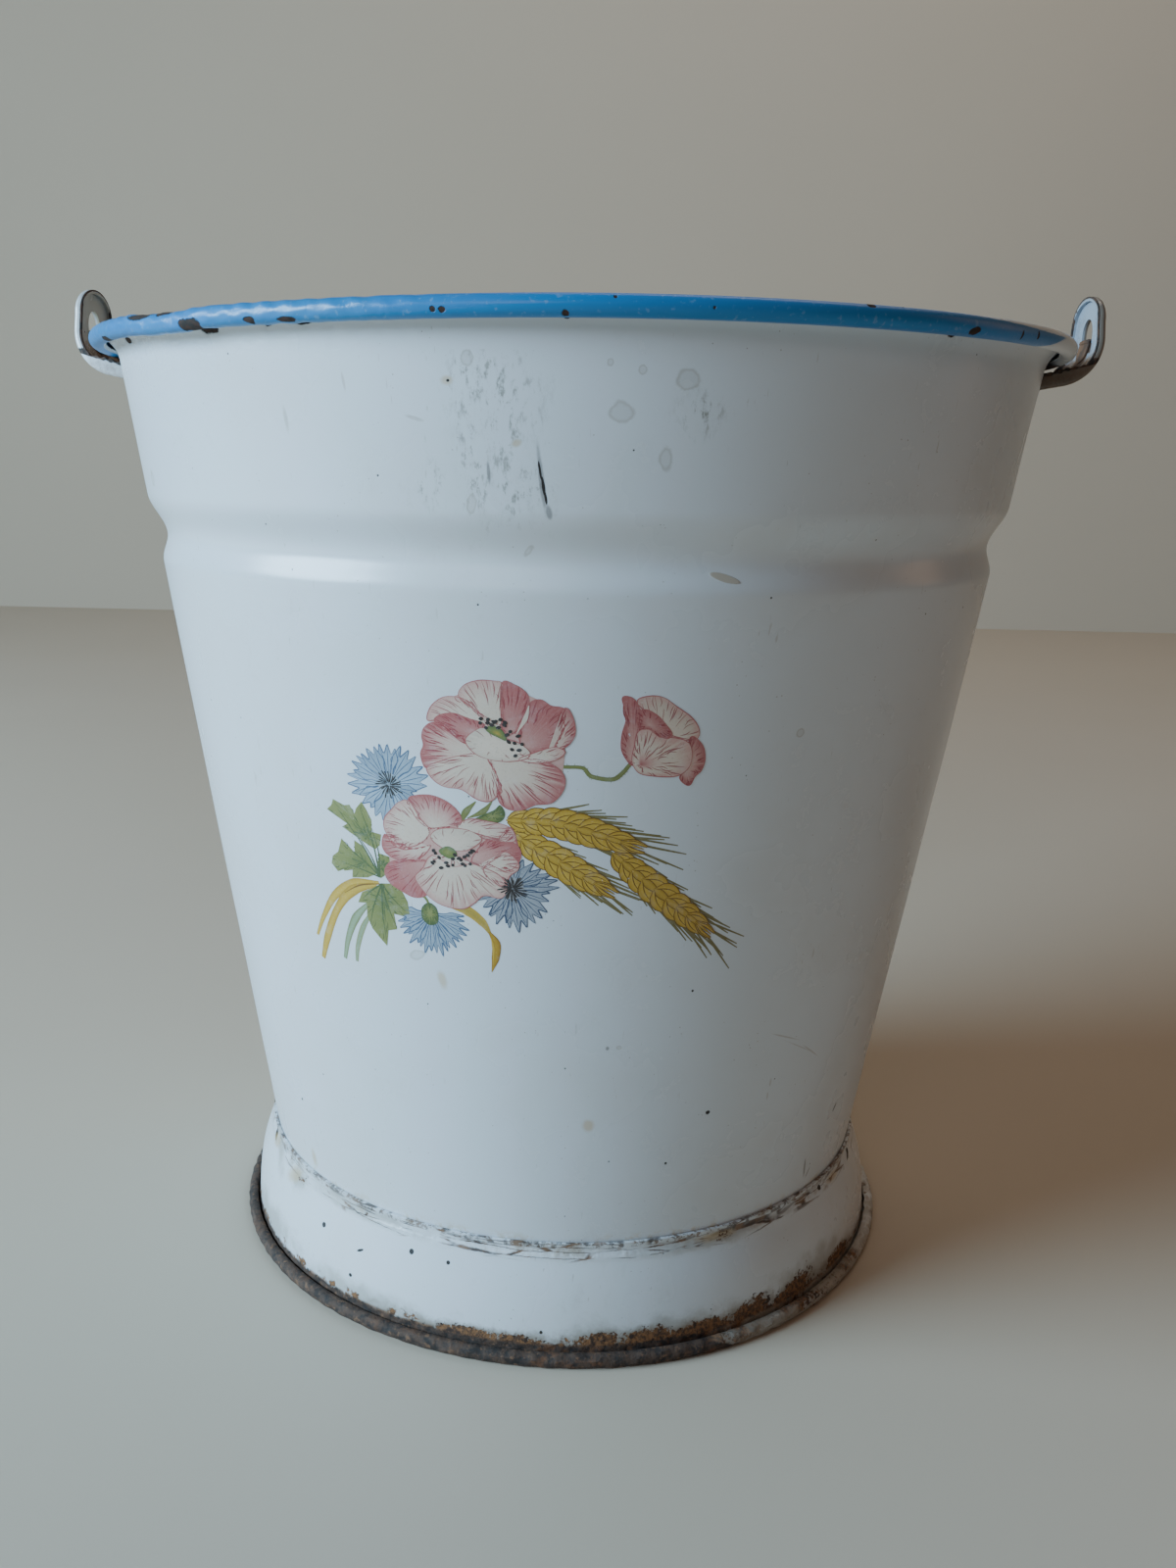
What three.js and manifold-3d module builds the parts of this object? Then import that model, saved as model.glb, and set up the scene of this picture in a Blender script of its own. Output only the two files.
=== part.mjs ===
// An old enamelled steel water bucket: a tapered body with a rolled rim, a bottom, a flared foot ring
// and two pressed ears for a bail. Millimetres, +Z up, the origin at the centre of the foot's standing ring.
import * as THREE from "three";
import { mergeVertices } from "three/addons/utils/BufferGeometryUtils.js";
import Module from "manifold-3d";

const wasm = await Module();
wasm.setup();

// ---- driving dimensions ----
const SHEET = 0.9; // body, bottom and foot sheet, enamel included
const FIT_GAP = 0.2; // left between neighbouring pieces
const TURN_STEPS = 64; // facets round the bucket

const RIM_R = 150; // outside of the rolled rim
const RIM_BEAD_R = 2.6; // outer radius of the roll's section
const RIM_Z = 289.5; // height of the roll's centre
const JOINT_R = 101.9; // outside of the wall where the foot ring's collar ends
const JOINT_Z = 34;
const TAPER = 0.1555; // radius gained for each millimetre of height
const BAND_SWELL = 0.8; // how far the band above the groove stands out of the lower cone
const GROOVE = { low: 225, deep: 234, high: 245.5, depth: 2.8 };
const SEAM_Z = 26; // lower edge of the wall

const FLOOR_Z = 33; // underside of the bottom at its centre
const FLOOR_SAG = 2; // how much lower its edge lies
const FLOOR_CORNER_R = 2;
const FLOOR_LIP_Z = 28.6; // lower edge of its short turned-down edge

const FOOT_R = 113; // outside of the foot's rolled edge
const FOOT_BEAD_R = 2.1;
const COLLAR = { top: 34.6, low: 32 };
const SKIRT = [[103.6, 30.6], [104.2, 28.4], [105.5, 25], [107.1, 20], [108.4, 13], [109, 5]]; // radius, height
const LAND = 0.8; // half width of the worn flat that the foot stands on

const EAR = {
  sheet: 1.3,
  out: 160.3, // radius of the lug's outer face
  top: 308.7,
  wallZ: 279.8, // height at which the shelf's underside meets the wall
  shelfAngle: THREE.MathUtils.degToRad(10),
  bendR: 15,
  rimDepth: 2.4, // depth of the stiffening edge, sheet included
  webTop: { wall: 284.2, out: 289.2 }, // heights of the side webs' upper edges at the wall and at the lug
  halfTop: 13.2, // half width at shoulderZ
  shoulderZ: 300.5,
  halfBase: 18.5, // half width at wallZ
  footHalf: 21, // half width of the foot welded to the wall
  footTop: 284.2,
};
const HOLE = { half: 4.9, bottom: 294.8, spring: 297.2, tongueHalf: 4.4, tongueLow: 288.6 };

// ---- outlines ----
const v2 = (x, y) => new THREE.Vector2(x, y);

// Points on a circle of radius r round (x, y), from angle a0 to a1 in radians.
function arc(x, y, r, a0, a1, steps) {
  return Array.from({ length: steps + 1 }, (_, i) => {
    const a = a0 + ((a1 - a0) * i) / steps;
    return v2(x + r * Math.cos(a), y + r * Math.sin(a));
  });
}

// Each point of a line moved sideways by d, to its left for a positive d, with mitred corners.
function offset(line, d) {
  return line.map((p, i) => {
    const before = line[Math.max(i - 1, 0)];
    const after = line[Math.min(i + 1, line.length - 1)];
    const a = p.clone().sub(before).normalize();
    const b = after.clone().sub(p).normalize();
    const way = a.clone().add(b).normalize();
    const spread = Math.max(way.dot(a.lengthSq() ? a : b), 0.5);
    return v2(p.x - (way.y * d) / spread, p.y + (way.x * d) / spread);
  });
}

// The closed section of a sheet whose face runs along the line, with its thickness on the line's left.
const sheetSection = (line, sheet) => [...line, ...offset(line, sheet).reverse()];

// ---- solids ----
function placed(geometry, matrix) {
  geometry.deleteAttribute("normal");
  geometry.deleteAttribute("uv");
  return mergeVertices(geometry.applyMatrix4(matrix), 1e-4);
}

// A section of (radius, height) points turned round Z; it closes on itself unless it ends on the axis.
function turned(section) {
  const onAxis = section[0].x === 0;
  const closed = onAxis ? [...section.slice(0, -1), section.at(-1).clone().setX(0)] : [...section, section[0]];
  if (THREE.ShapeUtils.area(section) < 0) closed.reverse();
  const lathe = new THREE.LatheGeometry(closed, TURN_STEPS);
  return placed(lathe, new THREE.Matrix4().makeRotationX(Math.PI / 2));
}

// An outline of (x, z) points extruded across Y, from -half to half.
function acrossY(outline, half) {
  const flat = new THREE.ExtrudeGeometry(new THREE.Shape(outline), { depth: 2 * half, bevelEnabled: false });
  const turn = new THREE.Matrix4().makeRotationX(Math.PI / 2);
  return placed(flat, turn.premultiply(new THREE.Matrix4().makeTranslation(0, half, 0)));
}

// An outline of (y, z) points extruded along X, from x0 to x1.
function alongX(outline, x0, x1) {
  const flat = new THREE.ExtrudeGeometry(new THREE.Shape(outline), { depth: x1 - x0, bevelEnabled: false });
  const axes = [new THREE.Vector3(0, 1, 0), new THREE.Vector3(0, 0, 1), new THREE.Vector3(1, 0, 0)];
  const turn = new THREE.Matrix4().makeBasis(...axes);
  return placed(flat, turn.premultiply(new THREE.Matrix4().makeTranslation(x0, 0, 0)));
}

function solid(geometry) {
  const vertProperties = new Float32Array(geometry.attributes.position.array);
  const triVerts = new Uint32Array(geometry.index.array);
  return new wasm.Manifold(new wasm.Mesh({ numProp: 3, vertProperties, triVerts }));
}

function geometryOf(made) {
  const { vertProperties, triVerts } = made.getMesh();
  const geometry = new THREE.BufferGeometry();
  geometry.setAttribute("position", new THREE.BufferAttribute(vertProperties, 3));
  geometry.setIndex(new THREE.BufferAttribute(triVerts, 1));
  geometry.computeVertexNormals();
  return geometry;
}

// ---- body ----
// Outside radius of the wall at height z: a cone with a rolled-in groove, steeper above than below.
function wallR(z) {
  const above = z > GROOVE.deep;
  const reach = above ? GROOVE.high - GROOVE.deep : GROOVE.deep - GROOVE.low;
  const share = Math.min(Math.abs(z - GROOVE.deep) / reach, 1);
  const dip = GROOVE.depth * Math.cos((share * Math.PI) / 2) ** 2;
  const swell = above ? BAND_SWELL * Math.sin((share * Math.PI) / 2) ** 2 : 0;
  return JOINT_R + TAPER * (z - JOINT_Z) + swell - dip;
}

// The body sheet's outer face, from the lower edge up the wall, out over the rim and round its roll.
function bodyLine() {
  const wallHeights = [SEAM_Z, 80, 150, GROOVE.low, 227, 229.5, 232, GROOVE.deep, 237, 240, 243, GROOVE.high, 265];
  const wall = wallHeights.map((z) => v2(wallR(z), z));
  const rollCentre = v2(RIM_R - RIM_BEAD_R, RIM_Z);
  const innerRollR = RIM_BEAD_R - SHEET;
  const flareZ = RIM_Z - 5;
  const flare = [
    v2(wallR(flareZ), flareZ),
    v2(wallR(flareZ) + 0.7, RIM_Z - 3),
    v2(wallR(flareZ) + 1.9, RIM_Z - 1.2),
  ];
  const roll = arc(rollCentre.x, rollCentre.y, innerRollR, Math.PI * 0.82, -Math.PI * 0.86, 12);
  return [...wall, ...flare, ...roll];
}

// ---- bottom ----
// The bottom's underside, from its centre out to a down-turned edge that lies inside the wall.
function bottomLine() {
  const lip = (z) => wallR(z) - SHEET - FIT_GAP - SHEET;
  const edgeZ = FLOOR_Z - FLOOR_SAG;
  const cornerR = lip(edgeZ - FLOOR_CORNER_R) - FLOOR_CORNER_R;
  const disc = [0, 0.35, 0.7].map((share) => v2(share * cornerR, FLOOR_Z - FLOOR_SAG * share ** 2));
  const corner = arc(cornerR, edgeZ - FLOOR_CORNER_R, FLOOR_CORNER_R, Math.PI / 2, 0.15, 4);
  return [...disc, ...corner, v2(lip(FLOOR_LIP_Z), FLOOR_LIP_Z)];
}

// ---- foot ring ----
// The ring's outer face, from the collar's upper edge down the skirt and round the rolled edge under it.
function footLine() {
  const collarR = (z) => wallR(z) + FIT_GAP + SHEET;
  const collar = [COLLAR.top, COLLAR.low].map((z) => v2(collarR(z), z));
  const skirt = SKIRT.map(([r, z]) => v2(r, z));
  const lowR = skirt.at(-1).x;
  const beadR = FOOT_R - FOOT_BEAD_R;
  const inner = FOOT_BEAD_R - SHEET;
  const roll = [
    v2(lowR, FOOT_BEAD_R + 1),
    v2(lowR + 0.3, SHEET + 0.35),
    v2(beadR - LAND, SHEET),
    v2(beadR + LAND, SHEET),
    ...arc(beadR, FOOT_BEAD_R, inner, -Math.PI * 0.2, Math.PI * 0.72, 7),
  ];
  return [...collar, ...skirt, ...roll];
}

// ---- ears ----
// Side view of the lug's outer face, from the wall along the shelf, round the bend and up.
function earLine() {
  const { wallZ, shelfAngle, bendR, out, top } = EAR;
  const start = v2(wallR(wallZ) - 4, wallZ - 4 * Math.tan(shelfAngle));
  const cornerZ = start.y + (out - start.x) * Math.tan(shelfAngle);
  const centreZ = cornerZ + bendR * Math.tan(Math.PI / 4 - shelfAngle / 2);
  const bend = arc(out - bendR, centreZ, bendR, shelfAngle - Math.PI / 2, 0, 8);
  return [start, ...bend, v2(out, top + 2)];
}

// The ear's outline in (y, z), grown inwards by inset: straight sloping sides under a round top.
function earOutline(inset) {
  const { halfBase, halfTop, shoulderZ, wallZ, top } = EAR;
  const crown = new THREE.EllipseCurve(0, shoulderZ, halfTop - inset, top - shoulderZ - inset, 0, Math.PI);
  const low = wallZ - 6;
  const half = halfBase - inset + (halfBase - halfTop) * ((wallZ - low) / (shoulderZ - wallZ));
  return [v2(half, low), ...crown.getPoints(14), v2(-half, low)];
}

// The bail hole: a flat fold below and a round arch above.
function holeOutline() {
  const { half, bottom, spring } = HOLE;
  return [v2(-half, bottom), v2(half, bottom), ...arc(0, spring, half, 0, Math.PI, 10)];
}

// The tongue cut from the hole and folded down over the inner face.
function tongueOutline() {
  const { tongueHalf, tongueLow, bottom } = HOLE;
  const round = arc(0, tongueLow + tongueHalf, tongueHalf, Math.PI, 2 * Math.PI, 8);
  return [...round, v2(tongueHalf, bottom + 0.5), v2(-tongueHalf, bottom + 0.5)];
}

function earGeometry() {
  const { sheet, rimDepth, webTop, out, halfBase, footHalf, footTop, wallZ } = EAR;
  const outer = earLine();
  const wide = halfBase + 6;
  const inside = v2(wallR(wallZ) - 6, webTop.out + 40);
  // Everything on the bucket's side of a line that lies depth inside the outer face.
  const inwardOf = (depth) => acrossY([...offset(outer, depth), inside], wide);
  const band = (near, far) => solid(inwardOf(near)).subtract(solid(inwardOf(far)));
  const blank = solid(alongX(earOutline(0), 130, out + 1));
  const hollow = solid(alongX(earOutline(sheet), 130, out + 1));
  const plate = band(0, sheet).intersect(blank);
  const webFoot = [v2(120, webTop.wall), v2(120, webTop.wall - 30), v2(out + 2, webTop.wall - 30)];
  const webSide = [...webFoot, v2(out + 2, webTop.out), v2(wallR(webTop.wall), webTop.wall)];
  const deep = solid(inwardOf(0)).intersect(solid(acrossY(webSide, wide)));
  const edge = band(0, rimDepth).add(deep).intersect(blank).subtract(hollow);
  const tongue = band(sheet - 0.1, 2 * sheet).intersect(solid(alongX(tongueOutline(), 130, out)));
  const hole = solid(alongX(holeOutline(), out - 8, out + 2));
  // The foot: a strip bent to the wall's curve, and the space that the wall itself takes.
  const wallUp = (low, high, gap) => [low, high].map((z) => v2(wallR(z) + gap, z));
  const strip = solid(turned(sheetSection(wallUp(wallZ - 0.6, footTop, FIT_GAP), -sheet)));
  const footBox = [v2(-footHalf, 270), v2(footHalf, 270), v2(footHalf, 290), v2(-footHalf, 290)];
  const foot = strip.intersect(solid(alongX(footBox, 100, 160)));
  const wallFace = wallUp(wallZ - 12, footTop + 8, FIT_GAP + 0.1);
  const wallSpace = [v2(0, wallFace[0].y), ...wallFace, v2(0, wallFace[1].y)];
  const made = plate.add(edge).add(tongue).subtract(hole).subtract(solid(turned(wallSpace)));
  return geometryOf(made.add(foot));
}

// ---- the bucket ----
const enamel = (color, roughness) => new THREE.MeshStandardMaterial({ color, roughness, metalness: 0 });
const whiteEnamel = enamel(0xdfe3e6, 0.25);
const agedEnamel = enamel(0xc9c6bd, 0.35);

function piece(name, geometry, material) {
  const mesh = new THREE.Mesh(geometry, material);
  mesh.name = name;
  return mesh;
}

const bucket = new THREE.Group();
bucket.add(piece("body", turned(sheetSection(bodyLine(), SHEET)), whiteEnamel));
bucket.add(piece("bottom", turned([...bottomLine(), ...offset(bottomLine(), SHEET).reverse()]), whiteEnamel));
bucket.add(piece("foot_ring", turned(sheetSection(footLine(), -SHEET)), whiteEnamel));

const ear = earGeometry();
for (const [name, turn] of [["ear_right", 0], ["ear_left", Math.PI]]) {
  const mesh = piece(name, ear, agedEnamel);
  mesh.rotation.z = turn;
  bucket.add(mesh);
}

export default bucket;
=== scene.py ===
"""Looks of an old enamelled bucket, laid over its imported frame: fine sheet surfaces, a blue rim, a flower
print, and the chips, scratches, stains and rust of long use. Shapes are worked out in millimetres."""

import bmesh
import bpy
import numpy as np
from mathutils import Matrix, Vector


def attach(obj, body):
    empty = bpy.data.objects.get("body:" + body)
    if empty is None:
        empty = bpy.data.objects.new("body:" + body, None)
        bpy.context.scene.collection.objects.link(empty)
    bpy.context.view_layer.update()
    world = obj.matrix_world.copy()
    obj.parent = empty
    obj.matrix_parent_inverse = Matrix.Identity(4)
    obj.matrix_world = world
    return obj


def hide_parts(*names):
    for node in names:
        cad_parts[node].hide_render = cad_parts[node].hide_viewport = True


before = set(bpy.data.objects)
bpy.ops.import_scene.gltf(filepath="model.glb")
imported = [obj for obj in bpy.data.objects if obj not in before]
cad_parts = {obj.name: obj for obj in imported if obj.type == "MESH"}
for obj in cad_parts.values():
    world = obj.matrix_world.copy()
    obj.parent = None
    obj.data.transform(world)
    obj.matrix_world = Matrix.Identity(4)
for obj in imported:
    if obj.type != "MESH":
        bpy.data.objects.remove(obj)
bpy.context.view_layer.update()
MM = 0.001

# ---- dimensions of the real pieces, in millimetres ----
SHEET = 0.9
FIT_GAP = 0.2
WALL_R, WALL_Z, TAPER = 101.9, 34, 0.1555  # the wall's outside radius at one height, and its slope
RIM_R, RIM_BEAD_R, RIM_Z = 150.0, 2.6, 289.5
RIM_JOINT_Z = 281.0  # where the rim's finer mesh takes over from the wall's
SEAM_Z = 26.0  # the wall's lower edge, inside the foot ring
FOOT_R, FOOT_BEAD_R = 113.0, 2.1
GROOVE_Z, GROOVE_DEPTH, GROOVE_ABOVE, GROOVE_BELOW = 234.0, 2.8, 11.5, 9.0
SWELL = 0.8  # how far the band above the groove stands off the cone
PAN_TOP_Z, PAN_CORNER_Z, PAN_EDGE_Z, PAN_CORNER_R, PAN_GAP, PAN_DISH = 33, 29.0, 28.6, 2.0, 2.0, 2
WEB_Z, WEB_RISE = 284.2, 5  # the upper edge of an ear's webs: its height at the wall, and its rise to the lug


def smooth(x, low, high):
    """0 below low, 1 above high, and a smooth step between."""
    t = np.clip((np.asarray(x, float) - low) / (high - low), 0, 1)
    return t * t * (3 - 2 * t)


def wall_r(z):
    """Outside radius of the wall at height z: a cone, a groove with cosine flanks, a small swell above it."""
    z = np.asarray(z, float)
    above = z > GROOVE_Z
    share = np.minimum(np.abs(z - GROOVE_Z) / np.where(above, GROOVE_ABOVE, GROOVE_BELOW), 1)
    dip = GROOVE_DEPTH * np.cos(share * np.pi / 2) ** 2
    swell = np.where(above, SWELL * np.sin(share * np.pi / 2) ** 2, 0)
    return WALL_R + TAPER * (z - WALL_Z) + swell - dip


def wave(a, z):
    """How far the beaten sheet stands off its true cone at angle a and height z: a few long low waves."""
    low = 0.16 * np.sin(3 * a + 0.7) * np.sin(z / 47 + 1.3) + 0.11 * np.sin(5 * a - 1.1 + z / 61)
    fine = 0.05 * np.sin(11 * a + z / 19) * np.sin(z / 23 + 2 * a)
    return (low + fine) * smooth(z, 34, 60) * (1 - smooth(z, 262, 281))


# ---- meshes ----
def linked(name, data):
    """A new object that holds the data, in the scene."""
    piece = bpy.data.objects.new(name, data)
    bpy.context.scene.collection.objects.link(piece)
    return piece


def finished(name, mesh, material, sharp):
    """The mesh as a piece in its material, shaded smooth but for edges sharper than the angle in degrees."""
    mesh.shade_smooth()
    mesh.set_sharp_from_angle(angle=np.radians(sharp))
    mesh.materials.append(material)
    return linked(name, mesh)


def mesh_of(name, points, faces):
    """A mesh from points in millimetres and lists of their numbers, one list to a face."""
    mesh = bpy.data.meshes.new(name)
    mesh.from_pydata((points * MM).tolist(), [], faces)
    return mesh


def welded(mesh, distance=0.004):
    """Merges the mesh's points that lie within the distance, in millimetres, and turns its faces outwards."""
    cleaner = bmesh.new()
    cleaner.from_mesh(mesh)
    bmesh.ops.remove_doubles(cleaner, verts=cleaner.verts, dist=distance * MM)
    bmesh.ops.dissolve_degenerate(cleaner, edges=cleaner.edges, dist=distance * MM)
    bmesh.ops.recalc_face_normals(cleaner, faces=cleaner.faces)
    cleaner.to_mesh(mesh)
    cleaner.free()
    return mesh


def flattened(values):
    """The values as one row of single-precision numbers, as a mesh takes them."""
    return values.astype(np.float32).ravel()


def grid_faces(rows, columns, wrap_rows=False, wrap_columns=False):
    """Quads of a grid of rows by columns points, numbered row by row, closed on itself where it wraps."""
    i = np.arange(rows if wrap_rows else rows - 1)[:, None]
    j = np.arange(columns if wrap_columns else columns - 1)[None, :]
    i2, j2 = (i + 1) % rows, (j + 1) % columns
    corners = [i * columns + j, i2 * columns + j, i2 * columns + j2, i * columns + j2]
    return np.stack(np.broadcast_arrays(*corners), -1).reshape(-1, 4)


def ways(line):
    """The unit direction of a line of points in the plane, at each of them."""
    way = np.gradient(line, axis=0)
    return way / np.maximum(np.linalg.norm(way, axis=1), 1e-9)[:, None]


def to_left(way):
    """Directions turned by a quarter to their left."""
    return np.stack([-way[:, 1], way[:, 0]], 1)


def run_of(line):
    """How far along the line each of its points lies."""
    return np.concatenate([[0], np.cumsum(np.linalg.norm(np.diff(line, axis=0), axis=1))])


def thick(line, sheet):
    """The closed section of a sheet: the line, and the line moved to its left by the sheet's thickness."""
    return np.concatenate([line, (line + sheet * to_left(ways(line)))[::-1]])


def finer(line, step):
    """The same line with its points set about step apart."""
    run = run_of(line)
    at = np.linspace(0, run[-1], max(int(run[-1] / step), 2) + 1)
    return np.stack([np.interp(at, run, line[:, k]) for k in (0, 1)], 1)


def rounded(points, step):
    """A polyline with its corners cut once by Chaikin's rule, then set out evenly at step."""
    line = np.array(points, float)
    near, far = 0.75 * line[:-1] + 0.25 * line[1:], 0.25 * line[:-1] + 0.75 * line[1:]
    return finer(np.concatenate([line[:1], np.stack([near, far], 1).reshape(-1, 2), line[-1:]]), step)


def arc(x, y, r, start, end, steps):
    """Points on a circle of radius r round (x, y), between two angles in radians."""
    a = np.linspace(start, end, steps + 1)
    return np.stack([x + r * np.cos(a), y + r * np.sin(a)], 1)


def revolved(section, around, shift):
    """The section carried round Z: x = r sin a, y = -r cos a; shift(a, r, z) tells what r and z gain."""
    r, z = section[:, 0], section[:, 1]
    twice_area = np.sum(r * np.roll(z, -1) - np.roll(r, -1) * z)
    if twice_area < 0:
        r, z = r[::-1], z[::-1]
    a, r = np.meshgrid(np.linspace(0, 2 * np.pi, around, endpoint=False), r, indexing="ij")
    z = np.broadcast_to(z, r.shape)
    more_r, more_z = shift(a, r, z)
    r, z = r + more_r, z + more_z
    points = np.stack([r * np.sin(a), -r * np.cos(a), z], -1).reshape(-1, 3)
    return points, grid_faces(*a.shape, wrap_rows=True, wrap_columns=True)


# ---- shader maths ----
class Socket:
    """A node's output. Operators on it add Math nodes to its tree."""

    def __init__(self, net, output):
        self.net, self.output = net, output

    def math(self, operation, *others, clamp=False):
        settings = {"operation": operation, "use_clamp": clamp}
        return self.net.node("ShaderNodeMath", settings, {i: v for i, v in enumerate((self, *others))})

    def __add__(self, other):
        return self.math("ADD", other)

    def __sub__(self, other):
        return self.math("SUBTRACT", other)

    def __rsub__(self, other):
        return self.net.node("ShaderNodeMath", {"operation": "SUBTRACT"}, {0: other, 1: self})

    def __mul__(self, other):
        return self.math("MULTIPLY", other)

    def __truediv__(self, other):
        return self.math("DIVIDE", other)

    __radd__, __rmul__ = __add__, __mul__

    def clamp(self):
        return self.math("ADD", 0.0, clamp=True)

    def most(self, other):
        return self.math("MAXIMUM", other)

    def least(self, other):
        return self.math("MINIMUM", other)

    def step(self, low, high):
        """0 where this is low, 1 where it is high, smooth between; low may be the larger."""
        ends = {"From Min": low, "From Max": high, "Value": self}
        settings = {"interpolation_type": "SMOOTHSTEP"}
        if low < high:
            return self.net.node("ShaderNodeMapRange", settings, ends)
        ends.update({"From Min": high, "From Max": low, "To Min": 1.0, "To Max": 0.0})
        return self.net.node("ShaderNodeMapRange", settings, ends)


class Net:
    """A material's node tree, with Object coordinates in millimetres and as angle, height and radius."""

    def __init__(self, name):
        self.material = bpy.data.materials.new(name)
        self.material.use_nodes = True
        self.tree = self.material.node_tree
        self.shader = next(n for n in self.tree.nodes if n.type == "BSDF_PRINCIPLED")
        self.place = self.node("ShaderNodeTexCoord", {}, {}, out="Object")
        self.mm = self.node("ShaderNodeVectorMath", {"operation": "SCALE"}, {0: self.place, "Scale": 1000.0})
        self.x, self.y, self.z = (self.node("ShaderNodeSeparateXYZ", {}, {0: self.mm}, out=k) for k in "XYZ")
        self.r = (self.x * self.x + self.y * self.y).math("SQRT")
        self.angle = self.x.math("ARCTAN2", self.y * -1.0) * (180 / np.pi)
        self.flat = self.node("ShaderNodeCombineXYZ", {}, {"X": self.angle * 2.0, "Y": self.z})

    def node(self, kind, settings, values, out=0):
        """Adds a node: its settings first, then its sockets' values or links. Gives the output named."""
        made = self.tree.nodes.new(kind)
        for key, value in settings.items():
            setattr(made, key, value)
        for key, value in values.items():
            self.feed(made.inputs[key], value)
        return Socket(self, made.outputs[out])

    def feed(self, socket, value):
        """Links a socket's value, or sets a number, a vector or a colour."""
        if isinstance(value, Socket):
            self.tree.links.new(value.output, socket)
        elif isinstance(value, tuple) and socket.type == "RGBA":
            socket.default_value = (*value, 1)
        else:
            socket.default_value = value

    def mix(self, share, first, second):
        """The colour first, with this share of it turned to second."""
        return self.node("ShaderNodeMix", {"data_type": "RGBA"}, {0: share, 6: first, 7: second}, out=2)

    def blend(self, share, first, second):
        """The number first, with this share of it turned to second."""
        return self.node("ShaderNodeMix", {}, {0: share, 2: first, 3: second})

    def noise(self, size, detail=3.0, rough=0.5, where=None, bend=0.0):
        """Fractal noise from about 0 to 1 whose blobs are about size millimetres."""
        values = {"Vector": where or self.mm, "Scale": 1 / size, "Detail": detail, "Roughness": rough}
        return self.node("ShaderNodeTexNoise", {}, {**values, "Distortion": bend}, out="Fac")

    def cells(self, size, where=None, feature="F1"):
        """Distance to the nearest of scattered points about size millimetres apart, as a share of size."""
        values = {"Vector": where or self.mm, "Scale": 1 / size}
        return self.node("ShaderNodeTexVoronoi", {"feature": feature}, values, out="Distance")

    def written(self, name, out="Fac"):
        """What the mesh has written on its points under this name."""
        return self.node("ShaderNodeAttribute", {"attribute_name": name}, {}, out=out)

    def spots(self, marks, ragged, edge, hollow=False):
        """The union of ellipses (angle, height, half width, half height, turn in degrees), with ragged edges;
        strongest at their outlines where they are hollow."""
        found = None
        for angle, height, half_w, half_h, turn in marks:
            settings = {"vector_type": "TEXTURE"}
            values = {"Vector": self.flat, "Location": (angle * 2.0, height, 0), "Scale": (half_w, half_h, 1)}
            values["Rotation"] = (0, 0, np.radians(turn))
            local = self.node("ShaderNodeMapping", settings, values)
            far = self.node("ShaderNodeVectorMath", {"operation": "LENGTH"}, {0: local}, out="Value")
            found = far if found is None else found.least(far)
        found = found + ragged
        return found.step(1.0 + edge, 1.0 - edge) * (found.step(0.55, 0.95) * 0.62 + 0.38 if hollow else 1.0)

    def finish(self, colour, rough, height, strength, distance):
        """Feeds the shader: colour, roughness, and a bump of the height times the distance in millimetres."""
        self.feed(self.shader.inputs["Base Color"], colour)
        self.feed(self.shader.inputs["Roughness"], rough)
        bump = {"Height": height, "Strength": strength, "Distance": distance * MM}
        self.feed(self.shader.inputs["Normal"], self.node("ShaderNodeBump", {}, bump))
        return self.material


# ---- colours ----
WHITE = (0.675, 0.72, 0.765)
DUST = (0.61, 0.60, 0.57)
GREY_STAIN = (0.40, 0.37, 0.33)
SPECK = (0.30, 0.26, 0.22)
SOIL = (0.34, 0.25, 0.15)
SOOT = (0.24, 0.185, 0.13)
OCHRE = (0.52, 0.36, 0.14)
RUST = (0.20, 0.075, 0.025)
DARK_RUST = (0.045, 0.024, 0.016)
CRUST = (0.25, 0.115, 0.045)
CRUST_DARK = (0.075, 0.038, 0.022)
CRACK_DARK = (0.06, 0.035, 0.025)
CRACK_BROWN = (0.20, 0.10, 0.045)
WORN_GREY = (0.36, 0.325, 0.27)
IRON = (0.024, 0.018, 0.016)
IRON_WORN = (0.085, 0.05, 0.034)
IRON_BROWN = (0.19, 0.10, 0.055)
IRON_RED = (0.15, 0.065, 0.03)
BLACK_CHIP = (0.018, 0.013, 0.011)
CHIP_BROWN = (0.05, 0.022, 0.014)
BLUE = (0.017, 0.195, 0.47)
BLUE_THIN = (0.012, 0.21, 0.44)
BLUE_PALE = (0.30, 0.47, 0.62)
EAR_STAIN = (0.20, 0.16, 0.13)
EAR_IRON = (0.10, 0.05, 0.03)
EAR_RUST = (0.17, 0.075, 0.035)


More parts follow.
